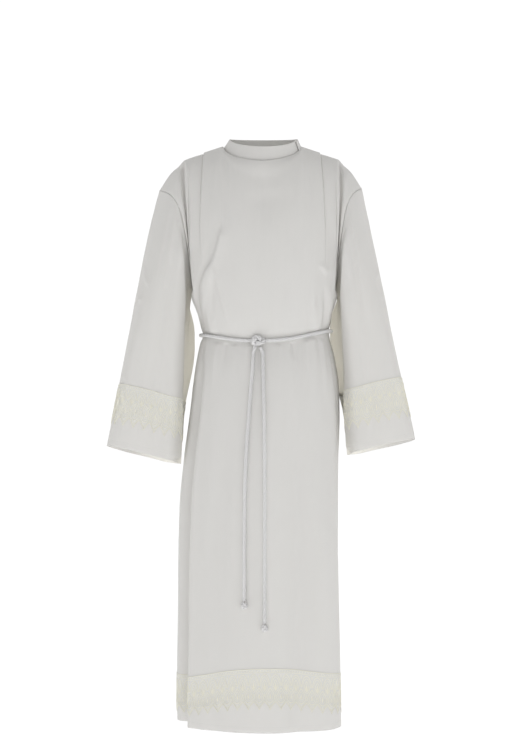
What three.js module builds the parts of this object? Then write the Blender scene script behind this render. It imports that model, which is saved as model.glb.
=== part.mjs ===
// A long white alb: front and back panels, wide sleeves, a stand collar, lace bands and a cord belt,
// hollow and shaped as it hangs on a wearer's shoulders.
// Millimetres. +Z is up, -Y is the front and +X is the wearer's left.
// The origin is midway between the shoulders, level with the sides of the neck seam.
import * as THREE from "three";

const CLOTH = 1.5; // thickness of the body and sleeve cloth
const SEAM_GAP = 0.4; // parting between two pieces that are sewn together
const SLEEVE_GAP = 0.6; // the same at the armholes, outwards
const SLEEVE_DROP = 0.2; // and downwards
const COLLAR_CLOTH = 2.4; // the collar is doubled
const LACE = 1.1;
const LACE_LIFT = 1; // air between the lace and the cloth that it lies on
const CORD_RADIUS = 4.5;
const CORD_LIFT = 1.5; // air between the belt cord and the cloth
const LAID_LIFT = 0.8; // the same under the knot and the hanging ends
const LACE_PITCH = 25; // from one lace point to the next
const NOTCH_DEPTH = 0.12; // lace left under a notch, as a share of a point's height
const LACE_SNAP = 0.2; // how near a fold line a corner moves onto it, as a share of their spacing
const FRONT = "front";
const BACK = "back";

// Turns rows of values into objects with the named columns.
function table(columns, rows) {
  return rows.map((row) => Object.fromEntries(columns.map((column, i) => [column, row[i]])));
}

// Body sections from the underarm to the hem. side, front and back are heights at the side seams and at
// the middle of each panel. minusX, plusX, fore and aft are how far the cloth stands from the centre.
// tilt is how much higher the +X side of a section sits than its middle.
const SECTIONS = table(["name", "side", "front", "back", "minusX", "plusX", "fore", "aft", "tilt"], [
  ["underarm", -335, -335, -335, 165, 175, 138, 126, 0],
  ["ribs", -385, -390, -382, 154, 169, 135, 121, 2],
  ["over belt", -422, -438, -416, 146, 164, 127, 114, 5],
  ["belt", -440, -460, -434, 141, 160, 119, 106, 5],
  ["under belt", -460, -482, -454, 148, 163, 125, 112, 5],
  ["hip top", -505, -525, -498, 157, 175, 136, 122, 3],
  ["hip", -565, -580, -560, 165, 184, 144, 130, 0],
  ["thigh", -640, -650, -640, 174, 186, 150, 136, 0],
  ["mid thigh", -740, -745, -740, 187, 183, 156, 142, 0],
  ["knee", -850, -850, -850, 197, 182, 161, 146, 0],
  ["calf", -970, -965, -970, 200, 182, 165, 149, 0],
  ["low calf", -1120, -1095, -1100, 201, 183, 169, 151, 2],
  ["lace top", -1245, -1214, -1220, 203, 184, 173, 154, 6],
  ["lace notch", -1316, -1287, -1293, 203, 184, 175, 155, 5],
  ["lace point", -1338, -1309, -1315, 203, 184, 176, 156, 4],
  ["hem", -1362, -1362, -1362, 203, 185, 177, 156, 0],
]);
SECTIONS.forEach((section, index) => (section.at = index));
const rowOf = (name) => SECTIONS.findIndex((section) => section.name === name);
const BELT_ROW = rowOf("belt");
const LACE_TOP_ROW = rowOf("lace top");
const LACE_NOTCH_ROW = rowOf("lace notch");
const LACE_POINT_ROW = rowOf("lace point");
const HEM_ROW = rowOf("hem");
const ROUNDNESS = 0.87; // power of sine and cosine in a section: 1 is an ellipse, less is squarer
const MIDDLE_POWER = 3; // how fast a section's height leaves that of its middle

// The neck seam, an oval about a centre on the x axis.
const NECK = { centreX: -0.5, halfWidth: 93, fore: 85, aft: 62, sideZ: 6, frontZ: -37, backZ: 0 };
const NECK_SHARE = 0.34; // part of each half panel's columns that ends at the neck seam

// The shoulder seam, from the neck seam out to the sleeve head. at is the column, x the distance out.
const SHOULDER_SEAM = [
  { at: NECK_SHARE, x: 93, z: NECK.sideZ },
  { at: 0.6, x: 139, z: -9 },
  { at: 0.76, x: 165, z: -17 },
  { at: 0.87, x: 186, z: -25 },
  { at: 0.91, x: 200, z: -40 },
  { at: 0.95, x: 218, z: -56 },
  { at: 1, x: 245, z: -96 },
];

// The armhole seam on the -X side, from the shoulder tip at 0 to the underarm at 1. reach is how far it
// stands in front of the shoulder line, and behind it on the back panel.
const ARMHOLE = [
  { at: 0, x: 245, reach: 0, z: -96 },
  { at: 0.2, x: 219, reach: 38, z: -110 },
  { at: 0.4, x: 197, reach: 57, z: -142 },
  { at: 0.6, x: 184, reach: 60, z: -195 },
  { at: 0.8, x: 174, reach: 42, z: -262 },
  { at: 1, x: 165, reach: 0, z: -335 },
];
const PLUS_X_ARMHOLE = { tipX: 239, rise: 4 };
const ARMHOLE_ZONE = 0.78; // columns from here out bend towards the armhole seam

// How a column of cloth leaves the neck and shoulder seams: forward or back, and down.
const YOKE_LEAD = {
  front: [
    { at: 0, out: 75, down: 150 },
    { at: NECK_SHARE, out: 250, down: 60 },
    { at: 1, out: 230, down: 70 },
  ],
  back: [
    { at: 0, out: 130, down: 110 },
    { at: NECK_SHARE, out: 240, down: 60 },
    { at: 1, out: 220, down: 70 },
  ],
};
const YOKE_FALL = 300; // length of the pull at the underarm end of a column

// The front and back shoulder pleats: the middle of the panel lies on top of the strip outside it.
// It is pressed flat down to the row open and has smoothed out at the row gone.
const PLEAT = { at: 0.6, edge: 0.016, height: 2.2, open: -0.45, gone: -0.12 };

// Folds of the body cloth. rise is outwards and width is in columns. The fold runs through the columns s
// at the sections t, grows over the sections grow and dies out over the sections fade. close draws the
// mouth of a deep fold together.
const NEVER = [90, 99];
const FOLD_REACH = 3; // a fold ends this many widths from its middle
const FOLD_COLUMNS = ["rise", "width", "t", "s", "grow", "fade", "close"];
const BODY_FOLDS = {
  front: table(FOLD_COLUMNS, [
    [12, 0.05, [-1, 1], [-0.85, -0.86], [-1, -0.82], [0, 2], 0],
    [12, 0.05, [-1, 1], [0.85, 0.86], [-1, -0.82], [0, 2], 0],
    [-15, 0.045, [-1, 0], [-0.93, -0.93], [-0.97, -0.75], [-0.3, 0.3], 0],
    [-15, 0.045, [-1, 0], [0.93, 0.93], [-0.97, -0.75], [-0.3, 0.3], 0],
    [7, 0.06, [4, 15], [-0.57, -0.6], [3.4, 11], NEVER, 0],
    [-54, 0.08, [4, 15], [-0.73, -0.765], [3.4, 11], NEVER, 0.1],
    [8, 0.07, [4, 15], [0.64, 0.7], [3.4, 11], NEVER, 0],
    [-30, 0.05, [4, 15], [0.78, 0.84], [3.4, 11], NEVER, 0.2],
    [-5, 0.05, [-0.45, -0.2, 0, 2.8], [-0.36, -0.5, -0.7, -0.84], [-0.5, -0.2], [1.5, 2.9], 0],
    [6, 0.06, [-0.2, 3], [-0.58, -0.56], [-0.3, 1.5], [2.2, 2.95], 0],
    [5, 0.06, [-0.1, 3], [0.62, 0.55], [-0.3, 1.5], [2.2, 2.95], 0],
    [-5, 0.05, [3, 6], [0.32, 0.3], [3.05, 3.9], [4.5, 7], 0],
    [5, 0.06, [3, 7], [0.46, 0.44], [3.05, 4], [5, 8], 0],
    [5, 0.14, [5, 15], [0.03, 0.06], [4, 8], NEVER, 0],
    [-6, 0.09, [5, 15], [0.22, 0.26], [4.5, 9], NEVER, 0],
    [25, 0.18, [5, 15], [0.5, 0.55], [4, 12], NEVER, 0],
    [-6, 0.11, [5, 15], [-0.27, -0.3], [5, 10], NEVER, 0],
  ]),
  back: table(FOLD_COLUMNS, [
    [10, 0.05, [-1, 1], [-0.85, -0.86], [-1, -0.82], [0, 2], 0],
    [10, 0.05, [-1, 1], [0.85, 0.86], [-1, -0.82], [0, 2], 0],
    [-14, 0.045, [-1, 0], [-0.93, -0.93], [-0.97, -0.75], [-0.3, 0.3], 0],
    [-14, 0.045, [-1, 0], [0.93, 0.93], [-0.97, -0.75], [-0.3, 0.3], 0],
    [10, 0.08, [4, 15], [-0.58, -0.64], [3.4, 11], NEVER, 0],
    [-30, 0.06, [4, 15], [-0.74, -0.79], [3.4, 11], NEVER, 0.3],
    [10, 0.08, [4, 15], [0.6, 0.66], [3.4, 11], NEVER, 0],
    [-34, 0.06, [4, 15], [0.74, 0.79], [3.4, 11], NEVER, 0.3],
    [-18, 0.08, [3.5, 15], [-0.3, -0.36], [3.3, 11], NEVER, 0.2],
    [9, 0.09, [3.5, 15], [-0.1, -0.12], [3.3, 11], NEVER, 0],
    [-16, 0.08, [3.5, 15], [0.1, 0.12], [3.3, 11], NEVER, 0.2],
    [9, 0.09, [3.5, 15], [0.32, 0.37], [3.3, 11], NEVER, 0],
  ]),
};
const SEAM_FADE = 0.94; // folds die out from this column to the side and armhole seams

// Where the columns and rows of the two panels are, closest where the folds are tightest.
const NECK_COLUMNS = [0, 0.065, 0.13, 0.19, 0.25, 0.3, NECK_SHARE];
const CHEST_COLUMNS = [0.44, 0.53, PLEAT.at, PLEAT.at + PLEAT.edge, 0.65, 0.69, 0.725, 0.755];
const SIDE_COLUMNS = [0.785, 0.82, 0.855, 0.89, 0.93, 0.965, 1];
const HALF_COLUMNS = [...NECK_COLUMNS, ...CHEST_COLUMNS, ...SIDE_COLUMNS];
const COLUMNS = [...HALF_COLUMNS.slice(1).reverse().map((s) => -s), ...HALF_COLUMNS];
const YOKE_ROWS = [-1, -0.94, -0.85, -0.74, -0.62, -0.49, -0.36, -0.24, -0.12];
const ROWS = [...YOKE_ROWS, ...SECTIONS.map((section, index) => index)];

// Sleeves. A sleeve is an oval tube from the armhole seam to the cuff. outer and inner are the cuff's far
// and near ends. lead and end are how far its top line leans outwards at the armhole and at the cuff.
const SLEEVES = [
  { name: "right", side: -1, outer: { x: 370, z: -710 }, inner: { x: 199, z: -752 }, lead: 150, end: 118 },
  { name: "left", side: 1, outer: { x: 367, z: -694 }, inner: { x: 208, z: -730 }, lead: 118, end: 138 },
];
const CUFF = { centreY: -8, halfDepth: 67, drop: 16 }; // reach before and behind, and how low its back is
// The pull on a sleeve's columns where they leave the armhole and where they reach the cuff: x is away
// from the body, as a share of the top line's, y forward for its front and back for its back, and z up.
const SLEEVE_LEAD = [
  { at: 0, x: 1, y: 0, z: -520 },
  { at: 0.5, x: 1, y: 95, z: -420 },
  { at: 1, x: 0.4, y: 0, z: -300 },
];
const SLEEVE_END = [
  { at: 0, x: 1, z: -560 },
  { at: 1, x: 0.08, z: -380 },
];
// Folds down a sleeve. at is the place round it: 0 outside, 0.25 front, 0.5 inside and 0.75 back.
const SLEEVE_FOLDS = [
  { at: 0.36, drift: 0.02, rise: 6, width: 0.035, from: 0.05, full: 0.35 },
  { at: 0.27, drift: 0.01, rise: -5, width: 0.04, from: 0.1, full: 0.4 },
  { at: 0.14, drift: -0.02, rise: 4, width: 0.05, from: 0.2, full: 0.6 },
  { at: 0.56, drift: 0, rise: 9, width: 0.045, from: 0.2, full: 0.5 },
  { at: 0.64, drift: 0.01, rise: -8, width: 0.04, from: 0.15, full: 0.5 },
  { at: 0.74, drift: 0, rise: 6, width: 0.05, from: 0.1, full: 0.5 },
  { at: 0.84, drift: -0.01, rise: -7, width: 0.045, from: 0.15, full: 0.6 },
];
// Rows of a sleeve above its lace, as shares of the way from the armhole to the top of the lace.
const SLEEVE_UPPER_ROWS = [0, 0.07, 0.16, 0.27, 0.42, 0.57, 0.73, 0.88];
// How far the lace's top, notches and points are above the cuff edge.
const CUFF_LACE = { top: 150, notch: 75, point: 52 };
const CUFF_WALK = 0.01; // step up a sleeve when a distance is measured, as a share of its length

// The collar's top edge, and the lap of its ends over the wearer's left shoulder.
const COLLAR = { centreX: 2.5, halfWidth: 80, fore: 74, aft: 54, sideZ: 26, frontZ: -1, backZ: 31 };
// Degrees round the neck from the back middle: where the band begins and ends, and where its upper end
// starts to stand off from its lower one by lift and where it has done so.
const COLLAR_LAP = { from: 78, to: 468, rise: 428, risen: 452, lift: 3.4 };
const COLLAR_SEAT = 2.6; // height of its lower edge over the neck seam
const COLLAR_INSET = 1.5; // how far that edge is inside the seam
const COLLAR_STEPS = 44;

// The belt's knot, and the columns either side of its middle that the belt leaves free for it.
const KNOT = { s: -0.03, width: 19, height: 15, depth: 12, grooves: 3, grooveDepth: 0.12 };
const KNOT_MESH = { sides: 16, rings: 10 };
const KNOT_HALF_TURN = 0.0655;
const BELT_POINTS = 16; // along each quarter of the belt
const BELT_STEPS = 52;
const CORD_SIDES = 8;
const TAIL_STEPS = 26;

// The two hanging ends of the belt: down out of the knot, then along the front of the skirt.
const TAILS = {
  short: table(["x", "y", "z"], [
    [-16, -132.1, -473.3],
    [-20, -132.2, -489],
    [-20.7, -135.8, -502.3],
    [-21.6, -139.6, -517],
    [-22.6, -142.8, -532],
    [-24, -145.6, -548],
    [-25.5, -148.2, -566],
    [-28.5, -152.4, -604],
    [-32, -156, -650],
    [-36, -159.5, -706],
    [-38.7, -162.5, -768],
    [-40.3, -165.3, -833],
    [-41, -167.9, -901],
    [-41.2, -170.2, -974],
    [-41.3, -171.5, -1018],
    [-41.3, -172.8, -1059.5],
  ]),
  long: table(["x", "y", "z"], [
    [-4.2, -132.1, -475.1],
    [1.6, -132.5, -489],
    [2, -136.4, -502],
    [2.3, -140.4, -517],
    [2.6, -143.8, -532],
    [2.9, -146.9, -548],
    [3.2, -149.8, -566],
    [4, -154.9, -604],
    [4.8, -159.5, -650],
    [5.4, -163.8, -706],
    [5.8, -167.4, -768],
    [5.9, -170.5, -833],
    [5.8, -173, -901],
    [5.7, -175.5, -974],
    [5.7, -177.4, -1040],
    [5.7, -179.2, -1090],
    [5.7, -179.8, -1110.5],
  ]),
};
const END_KNOT = { radius: 9, height: 10, seat: 0.3, sides: 10, rings: 6 };

const clamp = (x, low, high) => Math.min(Math.max(x, low), high);
const smooth = (low, high, x) => {
  const u = clamp((x - low) / (high - low), 0, 1);
  return u * u * (3 - 2 * u);
};
const signOf = (half) => (half === FRONT ? -1 : 1);

// A cubic from a with slope da to b with slope db, over a span.
function cubic(a, da, b, db, u, span = 1) {
  const u2 = u * u;
  const u3 = u2 * u;
  const atEnds = a * (2 * u3 - 3 * u2 + 1) + b * (3 * u2 - 2 * u3);
  return atEnds + span * (da * (u3 - 2 * u2 + u) + db * (u3 - u2));
}

// Reads a smooth curve through one column of a table whose rows stand at the places in the column at.
// It doesn't overshoot between rows.
function read(table, key, place) {
  const last = table.length - 1;
  let i = 0;
  while (i < last - 1 && place > table[i + 1].at) i += 1;
  const rise = (k) => (table[k + 1][key] - table[k][key]) / (table[k + 1].at - table[k].at);
  const slope = (k) => {
    if (k === 0) return rise(0);
    if (k === last) return rise(last - 1);
    const before = rise(k - 1);
    const after = rise(k);
    return before * after <= 0 ? 0 : (2 * before * after) / (before + after);
  };
  const span = table[i + 1].at - table[i].at;
  const u = clamp((place - table[i].at) / span, 0, 1);
  return cubic(table[i][key], slope(i), table[i + 1][key], slope(i + 1), u, span);
}

// The smooth body without folds, below the underarm: t is the section and s the column, from -1 at the
// -X side seam to 1 at the +X one.
function ringPoint(half, s, t) {
  const turn = (s * Math.PI) / 2;
  const reach = read(SECTIONS, s < 0 ? "minusX" : "plusX", t);
  const depth = read(SECTIONS, half === FRONT ? "fore" : "aft", t);
  const sine = Math.abs(Math.sin(turn));
  const cosine = Math.max(Math.cos(turn), 0);
  const side = read(SECTIONS, "side", t);
  const middle = read(SECTIONS, half, t);
  const height = side + (middle - side) * cosine ** MIDDLE_POWER + read(SECTIONS, "tilt", t) * Math.sin(turn);
  const x = Math.sign(s) * sine ** ROUNDNESS * reach;
  return new THREE.Vector3(x, signOf(half) * cosine ** ROUNDNESS * depth, height);
}

// A point of an oval seam round the neck, a quarter turn from the front or back middle to the side.
function neckOval(oval, half, quarter) {
  const turn = (quarter * Math.PI) / 2;
  const cosine = Math.max(Math.cos(turn), 0);
  const depth = half === FRONT ? oval.fore : oval.aft;
  const middle = half === FRONT ? oval.frontZ : oval.backZ;
  return new THREE.Vector3(
    oval.centreX + oval.halfWidth * Math.sin(turn),
    signOf(half) * depth * cosine,
    oval.sideZ + (middle - oval.sideZ) * cosine,
  );
}

// Where column s starts: on the neck seam near the middle, and on the shoulder seam further out.
function topPoint(half, s) {
  const share = Math.abs(s);
  if (share <= NECK_SHARE) return neckOval(NECK, half, s / NECK_SHARE);
  const side = Math.sign(s);
  const offCentre = NECK.centreX * (1 - smooth(NECK_SHARE, 1, share));
  const x = side * read(SHOULDER_SEAM, "x", share) + offCentre;
  return new THREE.Vector3(x, 0, read(SHOULDER_SEAM, "z", share));
}

// The armhole seam of one panel, w from the shoulder tip to the underarm.
function armholePoint(half, side, w) {
  let x = read(ARMHOLE, "x", w);
  let z = read(ARMHOLE, "z", w);
  if (side > 0) {
    const [tip, underarm] = [ARMHOLE[0].x, ARMHOLE[ARMHOLE.length - 1].x];
    const otherUnderarm = SECTIONS[0].plusX;
    x = otherUnderarm + ((x - underarm) * (PLUS_X_ARMHOLE.tipX - otherUnderarm)) / (tip - underarm);
    z += PLUS_X_ARMHOLE.rise * (1 - w);
  }
  return new THREE.Vector3(side * x, signOf(half) * read(ARMHOLE, "reach", w), z);
}

// The smooth yoke without folds: t from -1 at the neck and shoulder seams to 0 at the underarm.
function yokeColumn(half, s, t) {
  const w = t + 1;
  const top = topPoint(half, s);
  const lead = YOKE_LEAD[half];
  const out = signOf(half) * read(lead, "out", Math.abs(s));
  const start = new THREE.Vector3(0, out, -read(lead, "down", Math.abs(s)));
  const end = ringPoint(half, s, 0);
  const fall = ringPoint(half, s, 1).sub(end).setLength(YOKE_FALL);
  return new THREE.Vector3(
    cubic(top.x, start.x, end.x, fall.x, w),
    cubic(top.y, start.y, end.y, fall.y, w),
    cubic(top.z, start.z, end.z, fall.z, w),
  );
}
function yokePoint(half, s, t) {
  const column = yokeColumn(half, s, t);
  const share = smooth(ARMHOLE_ZONE, 1, Math.abs(s));
  if (share === 0) return column;
  const side = Math.sign(s);
  const pull = armholePoint(half, side, t + 1).sub(yokeColumn(half, side, t));
  return column.addScaledVector(pull, share);
}
const smoothBody = (half, s, t) => (t < 0 ? yokePoint(half, s, t) : ringPoint(half, s, t));

// The outward normal of a surface given as a function of two places, each kept inside its range.
function normalOf(surface, u, v, step, range, outward) {
  const inU = (x) => (range.wrap ? x : clamp(x, range.u[0], range.u[1]));
  const inV = (x) => clamp(x, range.v[0], range.v[1]);
  const across = surface(inU(u + step.u), v).sub(surface(inU(u - step.u), v));
  const along = surface(u, inV(v + step.v)).sub(surface(u, inV(v - step.v)));
  return across.cross(along).multiplyScalar(outward).normalize();
}
const BODY_RANGE = { u: [-1, 1], v: [-1, HEM_ROW], wrap: false };
const BODY_STEP = { u: 0.006, v: 0.03 };

// Where a fold's middle is at section t, on straight lines between the points that it runs through.
function foldColumn(fold, t) {
  let i = 0;
  while (i < fold.t.length - 2 && t > fold.t[i + 1]) i += 1;
  const u = clamp((t - fold.t[i]) / (fold.t[i + 1] - fold.t[i]), 0, 1);
  return fold.s[i] + (fold.s[i + 1] - fold.s[i]) * u;
}
const foldStrength = (fold, t) => smooth(...fold.grow, t) * (1 - smooth(...fold.fade, t));

// The front and back cloth with its pleats and folds.
function bodyPoint(half, s, t) {
  const point = smoothBody(half, s, t);
  const surface = (u, v) => smoothBody(half, u, v);
  const normal = normalOf(surface, s, t, BODY_STEP, BODY_RANGE, signOf(half));
  const along = new THREE.Vector3(signOf(half) * -normal.y, signOf(half) * normal.x, 0).normalize();
  const onPleat = 1 - smooth(PLEAT.at, PLEAT.at + PLEAT.edge, Math.abs(s));
  let out = PLEAT.height * onPleat * (1 - smooth(PLEAT.open, PLEAT.gone, t));
  let draw = 0;
  const seamFade = 1 - smooth(SEAM_FADE, 1, Math.abs(s));
  for (const fold of BODY_FOLDS[half]) {
    const away = (s - foldColumn(fold, t)) / fold.width;
    if (Math.abs(away) > FOLD_REACH) continue;
    const bell = Math.exp(-away * away) * fold.rise * foldStrength(fold, t) * seamFade;
    out += bell;
    draw += fold.close * bell * away ** 3;
  }
  return point.addScaledVector(normal, out).addScaledVector(along, draw);
}
function bodyNormal(half, s, t) {
  return normalOf((u, v) => bodyPoint(half, u, v), s, t, BODY_STEP, BODY_RANGE, signOf(half));
}

// A sleeve without folds: a is the place round it and q the share of the way to the cuff.
function smoothSleeve(sleeve, a, q) {
  const round = a - Math.floor(a);
  const half = round <= 0.5 ? FRONT : BACK;
  const w = round <= 0.5 ? round * 2 : (1 - round) * 2;
  const start = armholePoint(half, sleeve.side, w);
  const middle = { x: (sleeve.outer.x + sleeve.inner.x) / 2, z: (sleeve.outer.z + sleeve.inner.z) / 2 };
  const turn = w * Math.PI;
  const reach = Math.abs(Math.cos(turn)) ** ROUNDNESS * Math.sign(Math.cos(turn));
  const depth = signOf(half) * Math.max(Math.sin(turn), 0) ** ROUNDNESS;
  const cuff = new THREE.Vector3(
    sleeve.side * (middle.x + (sleeve.outer.x - middle.x) * reach),
    CUFF.centreY + CUFF.halfDepth * depth,
    middle.z + (sleeve.outer.z - middle.z) * reach - (CUFF.drop / 2) * depth,
  );
  const leadX = sleeve.side * sleeve.lead * read(SLEEVE_LEAD, "x", w);
  const endX = sleeve.side * sleeve.end * read(SLEEVE_END, "x", w);
  return new THREE.Vector3(
    cubic(start.x, leadX, cuff.x, endX, q),
    cubic(start.y, signOf(half) * read(SLEEVE_LEAD, "y", w), cuff.y, 0, q),
    cubic(start.z, read(SLEEVE_LEAD, "z", w), cuff.z, read(SLEEVE_END, "z", w), q),
  );
}
const SLEEVE_RANGE = { u: [0, 1], v: [0, 1], wrap: true };
const SLEEVE_STEP = { u: 0.008, v: 0.01 };
function sleevePoint(sleeve, a, q) {
  const surface = (u, v) => smoothSleeve(sleeve, u, v);
  const normal = normalOf(surface, a, q, SLEEVE_STEP, SLEEVE_RANGE, sleeve.side);
  let out = 0;
  for (const fold of SLEEVE_FOLDS) {
    const away = a - Math.floor(a) - (fold.at + fold.drift * q);
    out += Math.exp(-((away / fold.width) ** 2)) * fold.rise * smooth(fold.from, fold.full, q);
  }
  return smoothSleeve(sleeve, a, q).addScaledVector(normal, out);
}
function sleeveNormal(sleeve, a, q) {
  return normalOf((u, v) => sleevePoint(sleeve, u, v), a, q, SLEEVE_STEP, SLEEVE_RANGE, sleeve.side);
}
// The share of a sleeve's length that is a distance above the cuff edge, measured along its cloth.
function shareAbove(sleeve, a, distance) {
  let q = 1;
  let left = distance;
  let below = smoothSleeve(sleeve, a, q);
  while (q > CUFF_WALK) {
    const above = smoothSleeve(sleeve, a, q - CUFF_WALK);
    const step = above.distanceTo(below);
    if (step >= left) return q - (CUFF_WALK * left) / step;
    left -= step;
    q -= CUFF_WALK;
    below = above;
  }
  return q;
}
// Where each row crosses a sleeve's column: the upper rows, then the lace's and the cuff edge.
function sleeveRows(sleeve, a) {
  const top = shareAbove(sleeve, a, CUFF_LACE.top);
  const lower = [top, shareAbove(sleeve, a, CUFF_LACE.notch), shareAbove(sleeve, a, CUFF_LACE.point), 1];
  return [...SLEEVE_UPPER_ROWS.map((share) => share * top), ...lower];
}

// The normals that pieces share where they are sewn together, so that their cut edges face each other.
function sideSeamNormal(side, t) {
  return bodyNormal(FRONT, side, t).add(bodyNormal(BACK, side, t)).normalize();
}
function armholeNormal(half, side, w) {
  const sleeve = SLEEVES.find((each) => each.side === side);
  const round = half === FRONT ? w / 2 : 1 - w / 2;
  const shared = bodyNormal(half, side, w - 1).add(sleeveNormal(sleeve, round, 0));
  if (w === 0 || w === 1) {
    const other = half === FRONT ? BACK : FRONT;
    shared.add(bodyNormal(other, side, w - 1)).add(sleeveNormal(sleeve, round, 0));
  }
  return shared.normalize();
}
function panelNormal(half, s, t) {
  if (Math.abs(s) === 1) return t <= 0 ? armholeNormal(half, s, t + 1) : sideSeamNormal(s, t);
  if (t === -1 && Math.abs(s) > NECK_SHARE) {
    return bodyNormal(FRONT, s, t).add(bodyNormal(BACK, s, t)).normalize();
  }
  return bodyNormal(half, s, t);
}

// A closed solid between two grids of points, outer and inner, given as rows of columns. A wrapped grid
// joins its last column to its first.
function wallBetween(outer, inner, wrapped) {
  const rows = outer.length;
  const columns = outer[0].length;
  const positions = [];
  [outer, inner].forEach((grid) => grid.forEach((row) => row.forEach((p) => positions.push(p.x, p.y, p.z))));
  const at = (layer, row, column) => layer * rows * columns + row * columns + (column % columns);
  const index = [];
  const quad = (a, b, c, d) => index.push(a, b, c, a, c, d);
  const spans = wrapped ? columns : columns - 1;
  for (let r = 0; r < rows - 1; r += 1) {
    for (let c = 0; c < spans; c += 1) {
      quad(at(0, r, c), at(0, r + 1, c), at(0, r + 1, c + 1), at(0, r, c + 1));
      quad(at(1, r, c), at(1, r, c + 1), at(1, r + 1, c + 1), at(1, r + 1, c));
    }
  }
  for (let c = 0; c < spans; c += 1) {
    quad(at(0, 0, c), at(0, 0, c + 1), at(1, 0, c + 1), at(1, 0, c));
    quad(at(0, rows - 1, c), at(1, rows - 1, c), at(1, rows - 1, c + 1), at(0, rows - 1, c + 1));
  }
  for (let r = 0; r < rows - 1 && !wrapped; r += 1) {
    quad(at(0, r, 0), at(1, r, 0), at(1, r + 1, 0), at(0, r + 1, 0));
    const end = columns - 1;
    quad(at(0, r, end), at(0, r + 1, end), at(1, r + 1, end), at(1, r, end));
  }
  return solidFrom(positions, index);
}

// Builds a geometry, with its faces turned outwards if they all face in.
function solidFrom(positions, index) {
  const geometry = new THREE.BufferGeometry();
  geometry.setAttribute("position", new THREE.Float32BufferAttribute(positions, 3));
  geometry.setIndex(signedVolume(positions, index) < 0 ? index.reverse() : index);
  geometry.computeVertexNormals();
  return geometry;
}
function signedVolume(positions, index) {
  const corner = (i) => new THREE.Vector3().fromArray(positions, index[i] * 3);
  let volume = 0;
  for (let i = 0; i < index.length; i += 3) volume += corner(i).dot(corner(i + 1).cross(corner(i + 2))) / 6;
  return volume;
}
function movedIn(points, normals, depth) {
  return points.map((row, r) => row.map((p, c) => p.clone().addScaledVector(normals[r][c], -depth)));
}

// A panel's outer points and normals on its own grid, moved half a seam's gap away from the other panel.
function panelGrid(half) {
  const shift = new THREE.Vector3(0, (signOf(half) * SEAM_GAP) / 2, 0);
  const points = ROWS.map((t) => COLUMNS.map((s) => bodyPoint(half, s, t).add(shift)));
  const normals = ROWS.map((t) => COLUMNS.map((s) => panelNormal(half, s, t)));
  return { points, normals };
}
function sleeveGrid(sleeve) {
  const shift = new THREE.Vector3(sleeve.side * SLEEVE_GAP, 0, -SLEEVE_DROP);
  const fronts = YOKE_ROWS.map((t) => (t + 1) / 2);
  const rounds = [...fronts, 0.5, ...fronts.slice(1).map((a) => 1 - a).reverse()];
  const columns = rounds.map((a) => sleeveRows(sleeve, a));
  const rows = columns[0].map((_, row) => columns.map((column) => column[row]));
  const points = rows.map((row) => rounds.map((a, i) => sleevePoint(sleeve, a, row[i]).add(shift)));
  const normals = rows.map((row) =>
    rounds.map((a, i) => {
      if (row[i] > 0) return sleeveNormal(sleeve, a, row[i]);
      if (a <= 0.5) return armholeNormal(FRONT, sleeve.side, a * 2);
      return armholeNormal(BACK, sleeve.side, (1 - a) * 2);
    }),
  );
  return { points, normals };
}

// A lace band laid on a grid between its rows top, notch and point, with a pointed lower edge. Its corners
// lie on the grid's own flat pieces, moved out, so that it follows every fold.
function laceOn(grid, rows, wrapped) {
  const count = grid.points[0].length;
  const spans = wrapped ? count : count - 1;
  const column = (list, row, place) => {
    const i = Math.min(Math.floor(place), spans - 1);
    return list[row][i].clone().lerp(list[row][(i + 1) % count], place - i);
  };
  const lengths = [0];
  for (let i = 0; i < spans; i += 1) {
    const step = grid.points[rows.notch][i].distanceTo(grid.points[rows.notch][(i + 1) % count]);
    lengths.push(lengths[i] + step);
  }
  const total = lengths[spans];
  const corners = 2 * Math.round(total / LACE_PITCH);
  const placeAt = (length) => {
    let i = 0;
    while (i < spans - 1 && length > lengths[i + 1]) i += 1;
    return i + (length - lengths[i]) / (lengths[i + 1] - lengths[i]);
  };
  const stops = lengths.map((length, i) => ({ place: i, length }));
  const tooClose = (LACE_SNAP * total) / corners;
  for (let k = 1; k < corners; k += 1) {
    const length = (total * k) / corners;
    const near = stops.find((stop) => Math.abs(stop.length - length) < tooClose);
    if (near) near.length = length;
    else stops.push({ place: placeAt(length), length });
  }
  stops.sort((a, b) => a.place - b.place);
  if (wrapped) stops.pop();
  const layer = (lift) => {
    const raised = (row, place) =>
      column(grid.points, row, place).addScaledVector(column(grid.normals, row, place).normalize(), lift);
    const edge = ({ place, length }) => {
      const wave = (length * corners) / total;
      const point = Math.abs((wave % 2) - 1);
      const reach = NOTCH_DEPTH + (1 - NOTCH_DEPTH) * point;
      return raised(rows.notch, place).lerp(raised(rows.point, place), reach);
    };
    const straight = (row) => stops.map((stop) => raised(row, stop.place));
    return [straight(rows.top), straight(rows.notch), stops.map(edge)];
  };
  return wallBetween(layer(LACE_LIFT + LACE), layer(LACE_LIFT), wrapped);
}

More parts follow.
